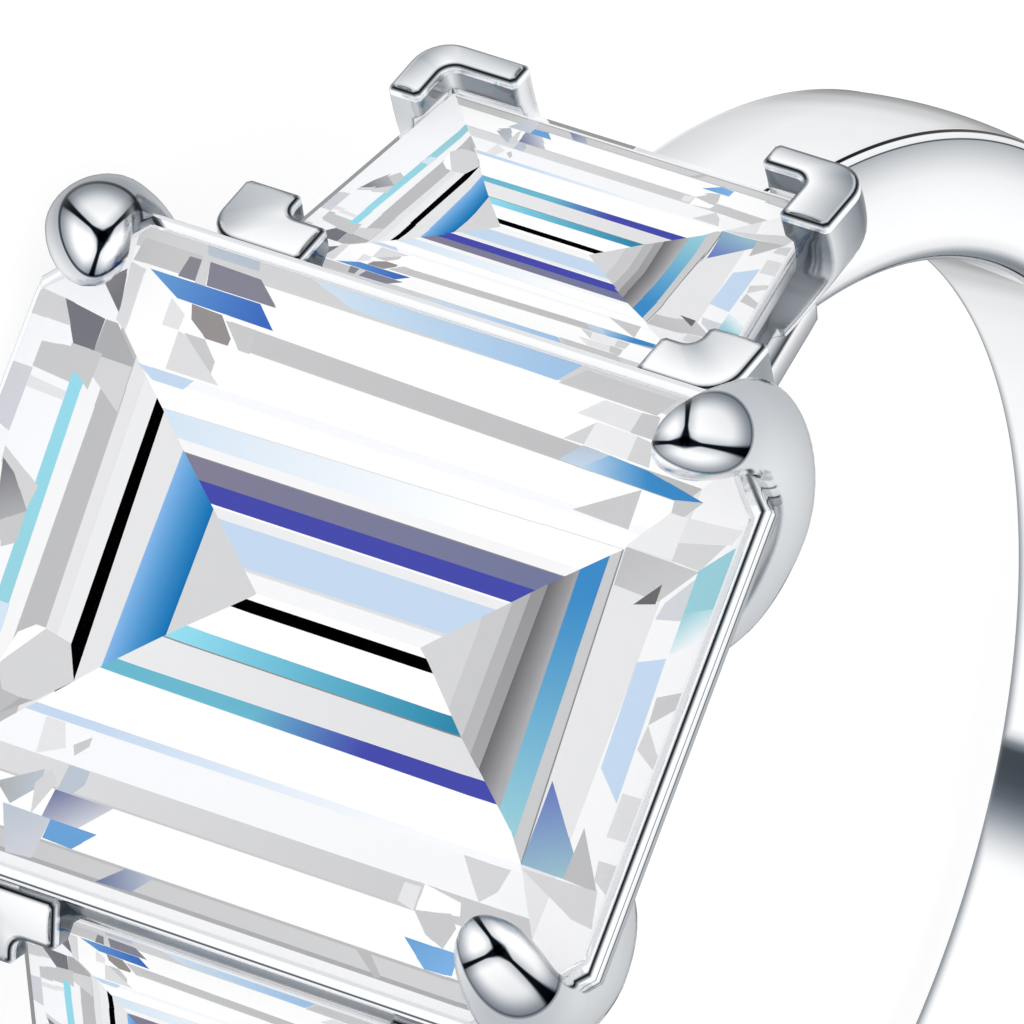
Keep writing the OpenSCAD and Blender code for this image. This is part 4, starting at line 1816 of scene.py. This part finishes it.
@dataclass
class CutStone:
    """Clear stone with its painted picture of the reflections in its inner facets."""

    node: str
    slot: str
    shape: Stone
    seat: Seat
    picture: Picture
    shell_gap: float = 0.02
    weld: float = 0.0005
    low_tones: tuple[Tone, ...] = (Tone.SILVER, Tone.SKY, Tone.PALE, Tone.AZURE, Tone.SNOW)

    def lower_facets(self, solid: Solid) -> None:
        """Adds the facets under the picture, painted with reflection tones, which the pavilion's steps show
        from below.

        Args:
            solid: the mesh under construction.
        """
        silver, frost = Tone.SILVER.linear(), Tone.FROST.linear()
        rings = self.shape.rings(-self.shell_gap)[:len(self.shape.pavilion_steps) + 1]
        count = len(self.low_tones)
        for k, (low, high) in enumerate(zip(rings, rings[1:])):
            n = len(low)
            for i in range(n):
                j = (i + 1) % n
                a, b = (self.low_tones[(k + i + step) % count].linear() for step in (0, 2))
                if k == len(rings) - 2:
                    a, b = silver, frost
                solid.painted([low[j], low[i], high[i], high[j]], [a, a, b, b])
        solid.painted(rings[0], [silver] * len(rings[0]))

    def build(self) -> None:
        """Dresses the clear stone and builds the facets inside it."""
        shell = frame["nodes"][self.node]
        shell.data.materials.clear()
        shell.data.materials.append(GEM.material())
        solid = Solid(f"{self.node}_facets", self.seat.place)
        shape = self.shape
        border = [(x / shape.hx, y / shape.half_length(x)) for x, y, _ in shape.outline(self.shell_gap, 0)]
        for poly, tones in self.picture.facets(border):
            corners = [(u * shape.hx, v * shape.half_length(u * shape.hx),
                        -self.picture.depth * self.picture.drop((u, v))) for u, v in poly]
            solid.painted(corners, tones)
        self.lower_facets(solid)
        piece = solid.finish(weld=self.weld, recalc=False)
        Dress(self.slot, None).put(piece, FACETS)


@dataclass
class Studio:
    """White room, bright round its main light and darker away from it, which the metal mirrors, and the
    floor.

    Its tones are angles from the direction of the main light, in degrees, with the light's level there.
    """

    tones: tuple[Point2, ...] = (
        (0, 1.14), (60, 1.14), (80, 1.12), (100, 1.1), (120, 1.06), (140, 0.98), (150, 0.9),
        (160, 0.66), (168, 0.42), (175, 0.28), (180, 0.24))
    top_level: float = 2
    mirrored_colour: Colour = (0.99, 0.995, 1)
    plain_level: float = 1.05
    floor_size: float = 2.4
    floor_grey: float = 0.3
    floor_roughness: float = 0.9
    floor_glow: float = 0.78

    def build(self) -> None:
        """Builds the room and the floor, and sets plain display colours."""
        scene = bpy.context.scene
        scene.view_settings.view_transform = "Standard"
        world = bpy.data.worlds.new("studio")
        scene.world = world
        world.use_nodes = True
        world.node_tree.nodes.clear()
        graph = Graph(world.node_tree)
        mirrored = graph.node("ShaderNodeBackground", {"Color": (*self.mirrored_colour, 1),
                                                       "Strength": self._profile(graph)})
        plain = graph.node("ShaderNodeBackground", {"Color": (1, 1, 1, 1), "Strength": self.plain_level})
        self._pick(graph, plain, mirrored, graph.node("ShaderNodeOutputWorld"))
        self._floor()

    @staticmethod
    def _pick(graph: Graph, plain: bpy.types.Node, mirrored: bpy.types.Node, out: bpy.types.Node) -> None:
        """Shows one shader to mirror rays and another to all others.

        Args:
            graph: the tree.
            plain: shader for the other rays.
            mirrored: shader for mirror rays.
            out: the tree's output.
        """
        path = graph.node("ShaderNodeLightPath")
        pick = graph.node("ShaderNodeMixShader", {0: path.outputs["Is Glossy Ray"], 1: plain.outputs[0],
                                                  2: mirrored.outputs[0]})
        graph.fill(out, {"Surface": pick.outputs[0]})

    def _profile(self, graph: Graph) -> bpy.types.NodeSocket:
        """Level of light by the angle from the main light.

        Args:
            graph: the world's tree.

        Returns:
            The level, between 0 and top_level.
        """
        where = graph.node("ShaderNodeTexCoord").outputs["Generated"]
        turned = graph.math("ARCCOSINE", graph.dot(where, RING.turn(FACING)))
        ramp = graph.node("ShaderNodeValToRGB", {"Fac": graph.math("DIVIDE", turned, pi)})
        ramp.color_ramp.interpolation = "EASE"
        stops = ramp.color_ramp.elements
        for k, (angle, level) in enumerate(self.tones):
            stop = stops[k] if k < 2 else stops.new(angle / 180)
            stop.position = angle / 180
            stop.color = (*[level / self.top_level] * 3, 1)
        return graph.math("MULTIPLY", ramp.outputs["Color"], self.top_level)

    def _floor(self) -> None:
        """Builds the pale floor, which the metal's mirror rays pass."""
        half = self.floor_size / 2
        mesh = bpy.data.meshes.new("floor")
        mesh.from_pydata([(-half, -half, 0), (half, -half, 0), (half, half, 0), (-half, half, 0)], [],
                         [(0, 1, 2, 3)])
        floor = bpy.data.objects.new("floor", mesh)
        bpy.context.scene.collection.objects.link(floor)
        made, shader = new_material("floor")
        graph = Graph(made.node_tree)
        graph.fill(shader, {"Base Color": (*[self.floor_grey] * 3, 1), "Roughness": self.floor_roughness,
                            "Specular IOR Level": 0, "Emission Color": (1, 1, 1, 1),
                            "Emission Strength": self.floor_glow})
        self._pick(graph, shader, graph.node("ShaderNodeBsdfTransparent"),
                   made.node_tree.nodes["Material Output"])
        mesh.materials.append(made)


@dataclass(frozen=True)
class Viewpoint:
    """Camera at the picture's angle, in the upright ring's frame."""

    eye: Point3 = (17.217, 119.26, 220.46)
    aim: Point3 = (-2.157, 1.749, 12.009)
    up: Point3 = VIEW_UP
    lens: float = 674.26
    sensor: float = 36
    clip: Point2 = (0.01, 100)

    def build(self) -> None:
        """Makes the camera the scene's own."""
        data = bpy.data.cameras.new("camera")
        data.lens = self.lens
        data.sensor_width = self.sensor
        data.clip_start, data.clip_end = self.clip
        camera = bpy.data.objects.new("camera", data)
        bpy.context.scene.collection.objects.link(camera)
        eye = RING.place(self.eye)
        back = (eye - RING.place(self.aim)).normalized()
        right = RING.turn(self.up).cross(back).normalized()
        for row, values in enumerate(zip(right, back.cross(right), back, eye)):
            for column, value in enumerate(values):
                camera.matrix_world[row][column] = value
        bpy.context.scene.camera = camera


@dataclass(frozen=True)
class Cutter:
    """Solid of a stone that cuts its seat into the metal, and is removed after use.

    It is grown all round and sunk under the lower steps, in millimetres.
    """

    name: str
    shape: Stone
    seat: Seat
    grow: float = 0.03
    sink: float = 0.15

    def build(self) -> bpy.types.Object:
        """Builds the solid."""
        solid = Solid(f"cutter_{self.name}", self.seat.place)
        solid.skin(self.shape.rings(self.grow, self.sink))
        return solid.finish()


CENTRE_PICTURE = Picture(1.0, 5.375 / 4.125)
WING_PICTURE = Picture(
    0.23, 3.05 / 1.75, ((-1, -1), (-0.58, -0.56), (-0.044, 0), (0.5, 0.56), (1, 1)),
    ((-1, -1), (-0.7, -0.7), (-0.25, -0.31), (0.213, 0.13), (0.7, 0.6), (1, 1)))

CLAWS = (
    Claw(-1, -1, "claw_1", tip=(0.05, -0.06, 0), cap=PaintedCapReflection(
        egg=(-3.777, -4.317, 13.75), junction=(-3.697, -4.189, 13.78), half_length=0.6, half_width=0.5,
        egg_angle=-98, lines=(-107, 138, 46), outside=0.6)),
    Claw(-1, 1, "claw_2", tip=(0.06, 0.02, 0), cap=PaintedCapReflection(
        egg=(-3.647, 4.864, 13.75), junction=(-3.485, 4.695, 13.78), half_length=0.626, half_width=0.49,
        egg_angle=188, lines=(85, 181.7, -9.9), outline=0.45, outside=0.92)),
    Claw(1, -1, "claw_3", cap=PaintedCapReflection(
        egg=(3.6, -4.3, 13.75), junction=(3.5, -4.2, 13.78), half_length=0.62, half_width=0.5,
        egg_angle=96, lines=(107, -138, -46))),
    Claw(1, 1, "claw_4", tip=(-0.2, -0.06, 0.04), slim=0.78, cap=PaintedCapReflection(
        egg=(3.332, 4.885, 13.75), junction=(3.214, 4.776, 13.78), half_length=0.75, half_width=0.51,
        egg_angle=135, lines=(127, -155, -43.3), outline=0.45, outside=0.85)),
)


def main() -> None:
    """Builds the camera and the studio, then the ring's looks piece by piece."""
    logging.basicConfig(level=logging.INFO, format="%(name)s: %(message)s")
    Viewpoint().build()
    Studio().build()
    cutters = [Cutter("centre", CENTRE, CENTRE_SEAT).build()]
    cutters += [Cutter(name, WING, seat).build() for name, seat in WING_SEATS.items()]
    Shank().build()
    tight = Cutter("tight", CENTRE, CENTRE_SEAT, grow=0.012, sink=0).build()
    for claw in CLAWS:
        claw.build([tight])
    CentreSeat().build(cutters)
    for name, seat in WING_SEATS.items():
        SideBasket(name, seat).build(cutters)
    for used in (tight, *cutters):
        bpy.data.objects.remove(used)
    CutStone("centre_stone", "centre_gem", CENTRE, CENTRE_SEAT, CENTRE_PICTURE).build()
    for name, seat in WING_SEATS.items():
        CutStone(f"side_stone_{name}", "side_gem", WING, seat, WING_PICTURE).build()


if __name__ == "__main__":
    main()
